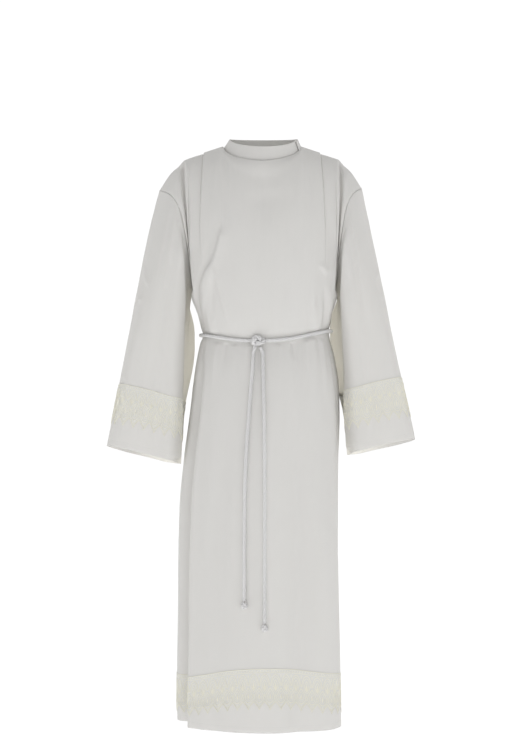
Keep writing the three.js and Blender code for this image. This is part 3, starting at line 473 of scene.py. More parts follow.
# On the body a point is x and z, as the front or the back is seen.
BODY_CREASES = {
    FRONT: table(CREASE_COLUMNS, [
        # the drag fold from the pleat's end towards the wearer's right hip, with the hollow above it
        [6, 16, 3.5, 0.15, 0.5,
         [(-90, -182), (-99, -223), (-114, -272), (-130, -297), (-143, -334), (-148, -436)]],
        [-3, 3, 9, 0.15, 0.5, [(-93, -184), (-103, -226), (-118, -276), (-134, -301)]],
        [-2, 9, 8, 0.4, 0.5, [(-98, -150), (-104, -200), (-112, -240)]],
        [4.5, 9, 4, 0.2, 0.5, [(-117, -276), (-104, -330), (-84, -400), (-74, -447)]],
        [3.4, 4, 10, 0.2, 0.4, [(-113, -280), (-124, -330), (-136, -388), (-142, -436)]],
        [-3, 5, 5, 0.3, 0.4, [(-112, -300), (-116, -360), (-118, -432)]],
        # at the wearer's left, above the belt
        [3, 14, 4, 0.4, 0.4, [(128, -277), (144, -292), (158, -309)]],
        [4.6, 4, 9, 0.3, 0.25, [(157, -320), (158, -380), (155, -436)]],
        [-3.6, 5, 5, 0.4, 0.3, [(146, -320), (147, -384), (144, -438)]],
        [3, 5, 8, 0.4, 0.3, [(120, -335), (124, -395), (121, -440)]],
        # across the chest
        [-1.6, 16, 22, 0.4, 0.4, [(-60, -120), (-20, -132), (40, -128), (80, -110)]],
        [1.8, 14, 20, 0.4, 0.4, [(30, -180), (60, -240), (92, -320)]],
        [1.6, 12, 18, 0.4, 0.4, [(-30, -210), (-44, -290), (-50, -380)]],
        # below the belt
        [-4.4, 4, 4, 0.1, 0.6, [(72, -462), (73, -484), (77, -512)]],
        [3.4, 5, 7, 0.1, 0.6, [(86, -458), (88, -490), (92, -560)]],
        [3.4, 5, 6, 0.1, 0.6, [(103, -455), (105, -490), (107, -560)]],
        [3.2, 5, 5, 0.1, 0.6, [(121, -452), (123, -480), (126, -535)]],
        [4.2, 5, 7, 0.1, 0.6, [(140, -450), (144, -500), (150, -600)]],
        [3.2, 5, 8, 0.1, 0.7, [(-62, -466), (-64, -495), (-66, -560)]],
        [-3.4, 5, 5, 0.1, 0.7, [(-84, -463), (-87, -488), (-92, -540)]],
        [3.6, 5, 8, 0.1, 0.7, [(-104, -460), (-110, -500), (-120, -590)]],
        [2.6, 5, 6, 0.1, 0.7, [(38, -466), (40, -500), (42, -550)]],
        [2.6, 6, 8, 0.1, 0.7, [(-34, -467), (-35, -495), (-37, -560)]],
        # long soft folds of the skirt and the pressing crease across it
        [3, 12, 26, 0.3, 0.4, [(10, -600), (12, -800), (14, -1130)]],
        [-2.6, 16, 14, 0.3, 0.4, [(80, -620), (90, -860), (100, -1180)]],
        [2.4, 12, 18, 0.3, 0.4, [(126, -640), (134, -860), (140, -1160)]],
        [2.4, 18, 12, 0.4, 0.4, [(-60, -640), (-70, -860), (-74, -1100)]],
        [-1.8, 12, 16, 0.4, 0.4, [(-104, -660), (-112, -880), (-116, -1140)]],
        [1.3, 3, 5, 0.2, 0.2, [(53, -829), (110, -826), (168, -831)]],
        [0.7, 3, 4, 0.3, 0.3, [(-140, -833), (-60, -830), (40, -829)]],
    ]),
    BACK: table(CREASE_COLUMNS, [
        [4, 8, 12, 0.3, 0.4, [(-110, -200), (-122, -270), (-138, -350), (-140, -425)]],
        [4, 12, 8, 0.3, 0.4, [(112, -205), (126, -280), (140, -350), (146, -425)]],
        [3.5, 9, 9, 0.4, 0.3, [(-60, -260), (-66, -340), (-64, -428)]],
        [3.2, 9, 9, 0.4, 0.3, [(52, -250), (60, -340), (62, -430)]],
        [-3.4, 8, 8, 0.4, 0.3, [(-92, -300), (-96, -360), (-94, -428)]],
        [3.4, 8, 8, 0.4, 0.3, [(4, -290), (2, -350), (4, -430)]],
        [3.8, 6, 7, 0.1, 0.6, [(-112, -440), (-118, -480), (-124, -560)]],
        [-3.6, 6, 6, 0.1, 0.6, [(-72, -440), (-76, -475), (-80, -525)]],
        [3.4, 6, 7, 0.1, 0.6, [(-44, -440), (-46, -480), (-48, -540)]],
        [3.2, 6, 6, 0.1, 0.6, [(20, -440), (20, -478), (22, -530)]],
        [-3.6, 6, 6, 0.1, 0.6, [(68, -440), (72, -476), (76, -520)]],
        [3.8, 7, 7, 0.1, 0.6, [(108, -440), (116, -480), (124, -560)]],
        [0.8, 4, 4, 0.3, 0.3, [(-120, -828), (0, -831), (120, -827)]],
    ]),
}


def crease_field(creases, u, v):
    """How far the creases lift the cloth at the places u, v, in the units of their points."""
    lift = np.zeros(u.shape)
    for crease in creases:
        points = np.array(crease["points"], float)
        steps = np.diff(points, axis=0)
        lengths = np.linalg.norm(steps, axis=1)
        starts = np.concatenate([[0], np.cumsum(lengths)])
        nearest = np.full(u.shape, np.inf)
        signed = np.zeros(u.shape)
        along = np.zeros(u.shape)
        for i, step in enumerate(steps):
            du, dv = u - points[i, 0], v - points[i, 1]
            share = np.clip((du * step[0] + dv * step[1]) / lengths[i] ** 2, 0, 1)
            off_u, off_v = du - share * step[0], dv - share * step[1]
            distance = np.hypot(off_u, off_v)
            closer = distance < nearest
            side = np.sign(off_u * step[1] - off_v * step[0])
            nearest = np.where(closer, distance, nearest)
            signed = np.where(closer, side * distance, signed)
            along = np.where(closer, (starts[i] + share * lengths[i]) / starts[-1], along)
        width = np.where(signed > 0, crease["right"], crease["left"])
        taper = smooth(0, crease["start"], along) * (1 - smooth(1 - crease["end"], 1, along))
        lift += crease["rise"] * np.exp(-((nearest / width) ** 2)) * taper
    return lift


GRID = 64


def ripple(u, v, size_u, size_v, seed):
    """Smooth unevenness between -1 and 1 with lumps of the given size."""
    generator = np.random.default_rng(seed)
    grid = generator.uniform(-1, 1, (GRID, GRID))
    x, y = u / size_u + 100, v / size_v + 100
    i, j = np.floor(x).astype(int), np.floor(y).astype(int)
    fx, fy = x - i, y - j
    fx, fy = fx * fx * (3 - 2 * fx), fy * fy * (3 - 2 * fy)

    def at(di, dj):
        return grid[(i + di) % GRID, (j + dj) % GRID]

    near = at(0, 0) * (1 - fx) + at(1, 0) * fx
    far = at(0, 1) * (1 - fx) + at(1, 1) * fx
    return near * (1 - fy) + far * fy


# Pressed edges of the front and back beside the armholes: the cloth nearer the middle lies over the rest.
LEDGE_AT, LEDGE_EDGE, LEDGE_WIDTH = 0.88, 0.006, 0.15
LEDGE_GROW, LEDGE_FADE = (-1, -0.85), (-0.1, 1.4)
LEDGE_LINE = table(["t", "s"], [
    [-1, 0.868], [-0.9, 0.88], [-0.8, 0.9], [-0.7, 0.92], [-0.6, 0.938], [-0.4, 0.94], [-0.25, 0.925],
    [0, 0.885], [1, 0.87],
])
LEDGES = {
    FRONT: {"height": 6, "valley": 14, "width": 0.022},
    BACK: {"height": 5, "valley": 12, "width": 0.025},
}


def ledge_line(t):
    return np.interp(t, [row["t"] for row in LEDGE_LINE], [row["s"] for row in LEDGE_LINE])


def ledge(half, s, t):
    sizes = LEDGES[half]
    inside = ledge_line(t) - np.abs(s)
    beyond = smooth(0, LEDGE_EDGE, -inside)
    over = np.exp(-((np.maximum(inside, 0) / LEDGE_WIDTH) ** 2)) * (1 - beyond)
    under = np.exp(-((np.maximum(-inside - 2 * LEDGE_EDGE, 0) / sizes["width"]) ** 2)) * beyond
    fade = smooth(*LEDGE_GROW, t) * (1 - smooth(*LEDGE_FADE, t))
    return (sizes["height"] * over - sizes["valley"] * under) * fade


# Unevenness of the cloth: height, size across, size down
BODY_RIPPLES = [(1.1, 55, 210), (0.5, 24, 70), (0.22, 11, 26)]
SLEEVE_RIPPLES = [(1.3, 50, 170), (0.5, 22, 60), (0.2, 10, 24)]
RIPPLE_TURN = 300  # how far the unevenness is moved from the middle to a side seam, in millimetres
EDGE_HOLD = 0.05  # share of the way round over which the small forms die out at a seam
TOP_HOLD, BELT_HOLD, HEAD_HOLD = (-1, -0.97), (0.02, 0.35), (0, 0.06)  # where they grow from nothing
SEEDS = {FRONT: 11, BACK: 31, "right": 50, "left": 52}
COLLAR_SEED = 71


def ripples(layers, u, v, seed):
    return sum(height * ripple(u, v, across, down, seed + i)
               for i, (height, across, down) in enumerate(layers))


def body_detail(half, s, t):
    """Small creases and unevenness of the body cloth, in millimetres outwards."""
    place = smooth_body(half, s, t)
    lift = crease_field(BODY_CREASES[half], place[..., 0], place[..., 2]) + ledge(half, s, t)
    lift += ripples(BODY_RIPPLES, place[..., 0] + RIPPLE_TURN * s, place[..., 2], SEEDS[half])
    hold = (1 - smooth(1 - EDGE_HOLD, 1, np.abs(s))) * smooth(*TOP_HOLD, t)
    belt = smooth(*BELT_HOLD, np.abs(t - BELT_ROW))
    return lift * hold * belt


def body_point(half, s, t):
    """A place on the outside of the finished body cloth."""
    s, t = np.broadcast_arrays(np.asarray(s, float), np.asarray(t, float))
    point = fold_body(half, s, t)
    normal = normal_of(lambda u, v: fold_body(half, u, v), s, t, BODY_STEP, BODY_RANGE, FACING[half])
    point = point + fold_direction(half, s, t, normal) * body_detail(half, s, t)[..., None]
    point[..., 1] += FACING[half] * SEAM_GAP / 2
    return point


def body_fine_normal(half, s, t):
    step = (BODY_STEP[0] * FINE_STEP, BODY_STEP[1] * FINE_STEP)
    return normal_of(lambda u, v: body_point(half, u, v), s, t, step, BODY_RANGE, FACING[half])


# On a sleeve a point is a, round it, and q, down it.
SLEEVE_ROUND, SLEEVE_DOWN = 520, 640  # rough girth and length, which turn a and q into millimetres
SLEEVE_CREASES = {
    "right": table(CREASE_COLUMNS, [
        # the inner corner of the front, and the back's edge that stands out behind it
        [13, 30, 5, 0.12, 0.04,
         [(0.28, 0.01), (0.35, 0.12), (0.4, 0.25), (0.425, 0.45), (0.435, 0.7), (0.44, 1)]],
        [25, 24, 18, 0.35, 0.55, [(0.56, 0.1), (0.565, 0.4), (0.56, 0.8)]],
        [-5, 9, 9, 0.3, 0.3, [(0.48, 0.15), (0.49, 0.5), (0.49, 0.9)]],
        [1.8, 8, 12, 0.2, 0.5, [(0.30, 0.0), (0.33, 0.2), (0.34, 0.45)]],
        [1.8, 8, 12, 0.15, 0.5, [(0.20, 0.0), (0.24, 0.2), (0.26, 0.5)]],
        [-1.6, 9, 9, 0.2, 0.5, [(0.16, 0.04), (0.19, 0.2), (0.2, 0.4)]],
        [2.6, 4, 8, 0.4, 0.4, [(0.02, 0.3), (0.09, 0.36), (0.17, 0.38)]],
        [2, 4, 7, 0.4, 0.4, [(0.02, 0.42), (0.08, 0.44), (0.14, 0.43)]],
        [2.4, 18, 18, 0.4, 0.4, [(0.12, 0.3), (0.13, 0.6), (0.12, 0.95)]],
        [2.2, 14, 14, 0.4, 0.4, [(0.3, 0.45), (0.31, 0.7), (0.31, 1)]],
        [2.4, 10, 10, 0.3, 0.3, [(0.7, 0.1), (0.72, 0.4), (0.7, 0.8)]],
        [-2.4, 9, 9, 0.3, 0.3, [(0.8, 0.1), (0.81, 0.4), (0.8, 0.8)]],
    ]),
    "left": table(CREASE_COLUMNS, [
        [13, 30, 5, 0.12, 0.04,
         [(0.27, 0.01), (0.34, 0.12), (0.39, 0.25), (0.425, 0.45), (0.44, 0.7), (0.445, 1)]],
        [31, 24, 18, 0.3, 0.5, [(0.56, 0.1), (0.57, 0.4), (0.56, 0.82)]],
        [-5, 9, 9, 0.3, 0.3, [(0.48, 0.15), (0.49, 0.5), (0.49, 0.9)]],
        [1.8, 12, 8, 0.2, 0.5, [(0.30, 0.0), (0.32, 0.2), (0.34, 0.45)]],
        [1.8, 12, 8, 0.15, 0.5, [(0.18, 0.0), (0.22, 0.2), (0.25, 0.45)]],
        [3, 4, 9, 0.4, 0.4, [(0.0, 0.345), (0.05, 0.355), (0.13, 0.375)]],
        [2.4, 4, 8, 0.4, 0.4, [(0.0, 0.44), (0.06, 0.445), (0.14, 0.43)]],
        [2.2, 18, 18, 0.4, 0.4, [(0.12, 0.3), (0.13, 0.6), (0.12, 0.95)]],
        [2.2, 14, 14, 0.4, 0.4, [(0.3, 0.45), (0.31, 0.7), (0.31, 1)]],
        [2.4, 10, 10, 0.3, 0.3, [(0.7, 0.1), (0.71, 0.4), (0.69, 0.8)]],
        [-2.4, 9, 9, 0.3, 0.3, [(0.8, 0.1), (0.81, 0.4), (0.8, 0.8)]],
    ]),
}


def sleeve_detail(sleeve, a, q):
    turn = a - np.floor(a)
    scaled = []
    for crease in SLEEVE_CREASES[sleeve["name"]]:
        points = [(u * SLEEVE_ROUND, v * SLEEVE_DOWN) for u, v in crease["points"]]
        scaled.append({**crease, "points": points})
    lift = crease_field(scaled, turn * SLEEVE_ROUND, q * SLEEVE_DOWN)
    place = smooth_sleeve(sleeve, a, q)
    lift += ripples(SLEEVE_RIPPLES, place[..., 0] + place[..., 1], place[..., 2], SEEDS[sleeve["name"]])
    return lift * smooth(*HEAD_HOLD, q)


def sleeve_point(sleeve, a, q):
    """A place on the outside of the finished sleeve."""
    a, q = np.broadcast_arrays(np.asarray(a, float), np.asarray(q, float))
    side = sleeve["side"]
    normal = normal_of(lambda u, v: fold_sleeve(sleeve, u, v), a, q, SLEEVE_STEP, SLEEVE_RANGE, side)
    point = fold_sleeve(sleeve, a, q) + normal * sleeve_detail(sleeve, a, q)[..., None]
    return point + np.array([side * SLEEVE_GAP, 0, -SLEEVE_DROP])


def sleeve_fine_normal(sleeve, a, q):
    step = (SLEEVE_STEP[0] * FINE_STEP, SLEEVE_STEP[1] * FINE_STEP)
    return normal_of(lambda u, v: sleeve_point(sleeve, u, v), a, q, step, SLEEVE_RANGE, sleeve["side"])


# Materials

def node(tree, kind, **values):
    made = tree.nodes.new(kind)
    for key, value in values.items():
        if hasattr(made, key):
            setattr(made, key, value)
        else:
            made.inputs[key].default_value = value
    return made


def math_node(tree, operation, *values):
    made = tree.nodes.new("ShaderNodeMath")
    made.operation = operation
    for slot, value in zip(made.inputs, values):
        if isinstance(value, (int, float)):
            slot.default_value = value
        else:
            tree.links.new(value, slot)
    return made.outputs[0]


def mix_colour(tree, factor, first, second):
    made = tree.nodes.new("ShaderNodeMix")
    made.data_type = "RGBA"
    for slot, value in zip([made.inputs[0], made.inputs[6], made.inputs[7]], [factor, first, second]):
        if isinstance(value, (int, float, tuple)):
            slot.default_value = value if not isinstance(value, tuple) or len(value) == 4 else (*value, 1)
        else:
            tree.links.new(value, slot)
    return made.outputs[2]


def texture_noise(tree, coordinates, scale, detail):
    made = node(tree, "ShaderNodeTexNoise", Scale=scale, Detail=detail, Roughness=0.5)
    tree.links.new(coordinates, made.inputs["Vector"])
    return made.outputs["Fac"]


def thread_wave(tree, coordinate, pitch):
    """A rounded wave along a coordinate in metres, between 0 and 1."""
    turn = math_node(tree, "MULTIPLY", coordinate, 2 * math.pi / pitch)
    return math_node(tree, "MULTIPLY_ADD", math_node(tree, "SINE", turn), 0.5, 0.5)


def new_material(name):
    material = bpy.data.materials.new(name)
    material.use_nodes = True
    tree = material.node_tree
    tree.nodes.clear()
    return material, tree


def uv_parts(tree):
    uv = tree.nodes.new("ShaderNodeUVMap")
    uv.uv_map = "Cloth"
    split = tree.nodes.new("ShaderNodeSeparateXYZ")
    tree.links.new(uv.outputs[0], split.inputs[0])
    return uv.outputs[0], split.outputs[0], split.outputs[1]


THIN = "thin"  # the mesh attribute that says where more light passes: the sleeves' inner side


def finish_material(tree, colour, height, distance, sheen, roughness, through=None):
    """Joins a colour and a bump height to a soft cloth shader. through has the colour and share of the
    light that passes through the cloth, and how much more passes where it is thin."""
    shader = tree.nodes.new("ShaderNodeBsdfPrincipled")
    shader.inputs["Roughness"].default_value = roughness
    shader.inputs["Specular IOR Level"].default_value = 0.25
    shader.inputs["Sheen Weight"].default_value = sheen
    shader.inputs["Sheen Roughness"].default_value = 0.5
    bump = node(tree, "ShaderNodeBump", Strength=1, Distance=distance)
    tree.links.new(height, bump.inputs["Height"])
    tree.links.new(bump.outputs[0], shader.inputs["Normal"])
    tree.links.new(colour, shader.inputs["Base Color"])
    output = tree.nodes.new("ShaderNodeOutputMaterial")
    if through is None:
        tree.links.new(shader.outputs[0], output.inputs[0])
        return
    tint, least, more = through
    thin = tree.nodes.new("ShaderNodeAttribute")
    thin.attribute_name = THIN
    glow = tree.nodes.new("ShaderNodeBsdfTranslucent")
    glow.inputs["Color"].default_value = (*tint, 1)
    mix = tree.nodes.new("ShaderNodeMixShader")
    tree.links.new(math_node(tree, "MULTIPLY_ADD", thin.outputs["Fac"], more, least), mix.inputs[0])
    tree.links.new(shader.outputs[0], mix.inputs[1])
    tree.links.new(glow.outputs[0], mix.inputs[2])
    tree.links.new(mix.outputs[0], output.inputs[0])


# CLOTH_SHADE is the darker end of the cloth's colour. Cloudy noise moves the colour towards it at random, and
# painted shade moves it there in the hollows of the weave and of the slubs.
CLOTH_WHITE = (0.845, 0.835, 0.815)
CLOTH_SHADE = (0.80, 0.786, 0.76)
CLOTH_GLOW = (0.99, 0.98, 0.945)
CLOTH_THROUGH, THIN_THROUGH = 0.2, 0.7  # share of the light that passes, and how much more where thin
LACE_THROUGH = 0.06
THIN_PLACE, THIN_WIDTH = 0.59, 0.16  # round the sleeve
THIN_GROW = (0, 0.08)  # down it
WEAVE_PITCH = 0.0007


def cloth_material():
    material, tree = new_material("alb_cloth")
    uv, across, down = uv_parts(tree)
    warp = thread_wave(tree, across, WEAVE_PITCH)
    weft = thread_wave(tree, down, WEAVE_PITCH * 1.15)
    weave = math_node(tree, "MULTIPLY", warp, weft)
    slub = texture_noise(tree, uv, scale=420, detail=3)
    soft = texture_noise(tree, uv, scale=14, detail=3)
    cloud = math_node(tree, "MULTIPLY_ADD", soft, 0.6, 0.5)
    # Painted shade: where the weave and the slubs lie lower, as in the bump height below, the colour is
    # darker, and it is lighter on the raised threads.
    shade = math_node(tree, "MULTIPLY", math_node(tree, "ADD", weave, slub), 0.25)
    colour = mix_colour(tree, math_node(tree, "ADD", cloud, shade), CLOTH_SHADE, CLOTH_WHITE)
    height = math_node(tree, "ADD", math_node(tree, "MULTIPLY", weave, 0.6), slub)
    finish_material(tree, colour, height, distance=0.00015, sheen=0.15, roughness=0.85,
                    through=(CLOTH_GLOW, CLOTH_THROUGH, THIN_THROUGH))
    return material


# The colour between the net's threads is painted shade: it stands for the cloth seen through the net's holes,
# darker in the net's shadow.
LACE_HOLE_SHADE = (0.79, 0.785, 0.74)
LACE_THREAD = (0.88, 0.877, 0.85)
LACE_IVORY = (0.97, 0.95, 0.84)
# The lace cord is yellowish ivory. LACE_CORD_SHADE is that tone darkened with painted shade, which fills the
# grooves of the cord's twist.
LACE_CORD_SHADE = (0.86, 0.835, 0.70)
NET_PITCH, CORD_PITCH = 0.0022, 0.0011


def net_material():
    """The fine net that carries the lace's cords."""
    material, tree = new_material("lace_net")
    across, down = uv_parts(tree)[1:]
    rising = thread_wave(tree, math_node(tree, "ADD", across, down), NET_PITCH)
    falling = thread_wave(tree, math_node(tree, "SUBTRACT", across, down), NET_PITCH)
    threads = math_node(tree, "MAXIMUM", rising, falling)
    threads = math_node(tree, "POWER", threads, 2.5)
    # Painted shade: the net is darker between its threads, where its holes would show the cloth behind in
    # shade.
    colour = mix_colour(tree, threads, LACE_HOLE_SHADE, LACE_THREAD)
    finish_material(tree, colour, threads, distance=0.0002, sheen=0.1, roughness=0.85,
                    through=(CLOTH_GLOW, LACE_THROUGH, THIN_THROUGH))
    return material


def lace_cord_material():
    material, tree = new_material("lace_cord")
    uv, across, down = uv_parts(tree)
    twist = thread_wave(tree, math_node(tree, "ADD", across, down), CORD_PITCH)
    fuzz = texture_noise(tree, uv, scale=900, detail=2)
    # Painted shade: the cord is darker in the grooves of its twist, where the bump height is low, and ivory
    # on its crests.
    colour = mix_colour(tree, math_node(tree, "MULTIPLY_ADD", twist, 0.5, 0.5), LACE_CORD_SHADE, LACE_IVORY)
    height = math_node(tree, "ADD", twist, fuzz)
    finish_material(tree, colour, height, distance=0.0002, sheen=0.25, roughness=0.6,
                    through=(CLOTH_GLOW, LACE_THROUGH, THIN_THROUGH))
    return material


# ROPE_SHADE is painted shade: the rope's colour darkens towards it in the grooves between its yarns, and the
# fuzz varies it at random.
ROPE_WHITE = (0.85, 0.845, 0.845)
ROPE_SHADE = (0.745, 0.74, 0.74)
YARN_PITCH = 0.0016
# THREAD_SHADE is painted shade in the grooves of the sewing thread's twist.
THREAD_WHITE = (0.84, 0.835, 0.82)
THREAD_SHADE = (0.72, 0.715, 0.70)
THREAD_PITCH = 0.0006


def rope_material():
    material, tree = new_material("rope_yarn")
    uv, across, down = uv_parts(tree)
    slanted = math_node(tree, "ADD", across, math_node(tree, "MULTIPLY", down, 0.8))
    yarn = thread_wave(tree, slanted, YARN_PITCH)
    fuzz = texture_noise(tree, uv, scale=600, detail=3)
    # Painted shade: darker in the grooves between the yarns and lighter on them, as the bump height goes; the
    # fuzz adds random tone.
    colour = mix_colour(tree, math_node(tree, "ADD", yarn, math_node(tree, "MULTIPLY", fuzz, 0.3)),
                        ROPE_SHADE, ROPE_WHITE)
    height = math_node(tree, "ADD", yarn, math_node(tree, "MULTIPLY", fuzz, 0.5))
    finish_material(tree, colour, height, distance=0.0003, sheen=0.35, roughness=0.55)
    return material


def thread_material():
    material, tree = new_material("sewing_thread")
    across = uv_parts(tree)[1]
    twist = thread_wave(tree, across, THREAD_PITCH)
    # Painted shade: darker in the grooves of the twist, which also makes the bump.
    colour = mix_colour(tree, twist, THREAD_SHADE, THREAD_WHITE)
    finish_material(tree, colour, twist, distance=0.0001, sheen=0.1, roughness=0.6)
    return material


# Meshes

def mesh_object(name, points, quads, uv, material):
    """A smooth mesh of points in millimetres, with uv in metres at each point."""
    mesh = bpy.data.meshes.new(name)
    points = np.asarray(points, float).reshape(-1, 3) * MM
    quads = np.asarray(quads, int)
    mesh.vertices.add(len(points))
    mesh.vertices.foreach_set("co", points.ravel())
    mesh.loops.add(quads.size)
    mesh.loops.foreach_set("vertex_index", quads.ravel())
    mesh.polygons.add(len(quads))
    mesh.polygons.foreach_set("loop_start", np.arange(0, quads.size, 4))
    mesh.polygons.foreach_set("use_smooth", np.ones(len(quads), bool))
    layer = mesh.uv_layers.new(name="Cloth")
    layer.data.foreach_set("uv", np.asarray(uv, float).reshape(-1, 2)[quads.ravel()].ravel())
    mesh.materials.append(material)
    mesh.update(calc_edges=True)
    mesh.validate()
    made = bpy.data.objects.new(name, mesh)
    bpy.context.scene.collection.objects.link(made)
    return made


def grid_quads(rows, columns, wrapped=False, start=0):
    """Quads of a grid of rows by columns of points. A wrapped one joins its last column to its first."""
    spans = columns if wrapped else columns - 1
    r, c = np.meshgrid(np.arange(rows - 1), np.arange(spans), indexing="ij")
    following = (c + 1) % columns
    quads = np.stack([r * columns + c, (r + 1) * columns + c, (r + 1) * columns + following,
                      r * columns + following], axis=-1)
    return quads.reshape(-1, 4) + start


def thicken(piece, thickness, side):
    """Gives a sheet its thickness, in millimetres, to the inside of its outer face."""
    solid = piece.modifiers.new("thickness", "SOLIDIFY")
    solid.thickness = thickness * MM
    solid.offset = side
    solid.use_even_offset = False
    return piece


def place_on(piece, slot, *nodes):
    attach(piece, "root")
    if nodes:
        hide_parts(*nodes)
    return piece


def spacing(stops, counts):
    """Places between stops, with the given number of steps in each stretch."""
    places = [np.linspace(stops[i], stops[i + 1], count, endpoint=False) for i, count in enumerate(counts)]
    return np.concatenate([*places, [stops[-1]]])


def lengths_along(points, axis):
    """How far each point of a grid is along its own column, for axis 0, or row, for axis 1."""
    steps = np.linalg.norm(np.diff(points, axis=axis), axis=2)
    return np.insert(np.cumsum(steps, axis=axis), 0, 0, axis=axis)


# Columns and rows of the panels, finer where the folds are tighter
PLEAT_END = PLEAT["at"] + 3 * PLEAT["edge"]
LEDGE_END = LEDGE_AT + 3 * LEDGE_EDGE
HALF_STOPS = [0, NECK_SHARE, PLEAT["at"], PLEAT_END, LEDGE_AT, LEDGE_END, 1]
HALF_STEPS = [20, 15, 7, 19, 7, 12]
ROW_STOPS, ROW_STEPS = [-1, 0, 2.5, 3.5, 6, 11, 15], [74, 22, 14, 30, 76, 32]


def panel(half, material):
    half_columns = spacing(HALF_STOPS, HALF_STEPS)
    columns = np.concatenate([-half_columns[:0:-1], half_columns])
    rows = spacing(ROW_STOPS, ROW_STEPS)
    s, t = np.meshgrid(columns, rows)
    for row in range(len(rows)):
        at = float(ledge_line(rows[row]))
        moved = np.interp(np.abs(columns), [0, PLEAT_END, LEDGE_AT, LEDGE_END, 1],
                          [0, PLEAT_END, at, at + LEDGE_END - LEDGE_AT, 1])
        s[row] = np.sign(columns) * moved
    points = body_point(half, s, t)
    flat = smooth_body(half, s, t)
    across = lengths_along(flat, 1)
    across -= across[:, [len(columns) // 2]]
    uv = np.stack([across, lengths_along(flat, 0)], axis=-1) * MM
    quads = grid_quads(len(rows), len(columns))
    if half == BACK:
        quads = quads[:, ::-1]
    piece = mesh_object(f"{half}_cloth", points, quads, uv, material)
    return thicken(piece, CLOTH, -1)


SLEEVE_STOPS, SLEEVE_STEPS, SLEEVE_ROWS = [0, 0.26, 0.48, 0.66, 1], [34, 58, 28, 44], 150


def sleeve_cloth(sleeve, material):
    around = spacing(SLEEVE_STOPS, SLEEVE_STEPS)[:-1]
    rows = np.linspace(0, 1, SLEEVE_ROWS)
    a, q = np.meshgrid(around, rows)
    points = sleeve_point(sleeve, a, q)
    uv = np.stack([a * SLEEVE_ROUND, q * SLEEVE_DOWN], axis=-1) * MM
    quads = grid_quads(len(rows), len(around), wrapped=True)
    if sleeve["side"] > 0:
        quads = quads[:, ::-1]
    piece = mesh_object(f"{sleeve['name']}_sleeve_cloth", points, quads, uv, material)
    inner = np.exp(-(((a - THIN_PLACE) / THIN_WIDTH) ** 4)) * smooth(*THIN_GROW, q)
    piece.data.attributes.new(THIN, "FLOAT", "POINT").data.foreach_set("value", inner.ravel())
    return thicken(piece, CLOTH, -1)


# The collar: a doubled band whose section is traced as share up it and millimetres outwards

COLLAR_COLUMNS = 300
COLLAR_DEGREE, COLLAR_HEIGHT = 1.5, 30  # rough length of a degree of it and height, in millimetres
COLLAR_SECTION = [
    (0.02, -0.2), (0.1, 0), (0.2, 0), (0.3, 0), (0.4, 0), (0.5, 0), (0.6, 0), (0.7, 0), (0.8, 0), (0.9, 0),
    (0.97, -0.1), (0.99, -0.5), (1, -1), (0.99, -1.5), (0.97, -1.9), (0.9, -2), (0.7, -2), (0.5, -2),
    (0.3, -2), (0.1, -2), (0.02, -1.8), (0, -1.4), (0, -0.6),
]
COLLAR_RIPPLES = [(0.7, 34, 40), (0.3, 12, 18)]


def collar_frame(degrees):
    """The collar's lower and upper edges and its outward direction, round the neck from the back middle."""
    angle = np.radians(degrees)
    quarter = np.arcsin(np.clip(np.sin(angle), -1, 1)) / (math.pi / 2)
    in_front = (np.cos(angle) < 0)[..., None]
    lower = np.where(in_front, neck_oval(NECK, FRONT, quarter), neck_oval(NECK, BACK, quarter))
    upper = np.where(in_front, neck_oval(COLLAR, FRONT, quarter), neck_oval(COLLAR, BACK, quarter))
    out = unit(vector(np.sin(angle) / NECK["halfWidth"], np.cos(angle) / NECK["fore"], 0))
    lift = COLLAR_LAP["lift"] * smooth(COLLAR_LAP["rise"], COLLAR_LAP["risen"], degrees)
    lower = lower - out * COLLAR_INSET + vector(0, 0, lift - COLLAR_TUCK)
    return lower + out * lift[..., None], upper + out * lift[..., None], out


def collar_point(degrees, share, offset):
    lower, upper, out = collar_frame(degrees)
    share = np.asarray(share, float)
    puff = ripples(COLLAR_RIPPLES, degrees * COLLAR_DEGREE, share * COLLAR_HEIGHT, COLLAR_SEED)
    puff = puff * np.sin(math.pi * share)
    return lower + (upper - lower) * share[..., None] + out * (offset + puff)[..., None]


def collar_cloth(material):
    degrees = np.linspace(COLLAR_LAP["from"], COLLAR_LAP["to"], COLLAR_COLUMNS)
    section = np.array(COLLAR_SECTION)
    along, up = np.meshgrid(degrees, section[:, 0], indexing="ij")
    points = collar_point(along, up, np.broadcast_to(section[:, 1], up.shape))
    first, last = (points[[i]].mean(axis=1, keepdims=True) + 0 * points[[i]] for i in (0, -1))
    points = np.concatenate([first, points, last])
    ways = [along * COLLAR_DEGREE, up * COLLAR_HEIGHT]
    uv = np.stack([np.pad(way, ((1, 1), (0, 0)), "edge") for way in ways], axis=-1)
    quads = grid_quads(points.shape[0], points.shape[1], wrapped=True)
    return mesh_object("collar_cloth", points, quads, uv * MM, material)


# Lace

def share_above(sleeve, a, distance):
    """The share of a sleeve's length that is a distance above the cuff edge, measured along its cloth."""
    q = np.linspace(1, 0.5, 51)
    lengths = lengths_along(smooth_sleeve(sleeve, a[None, :], q[:, None]), 0)
    return np.array([np.interp(distance, lengths[:, i], q) for i in range(len(a))])


BAND_STEPS, BAND_ROWS = 24, 50  # samples of the cloth under the lace: along each pitch, and down it
EDGE_SAMPLES = 1201


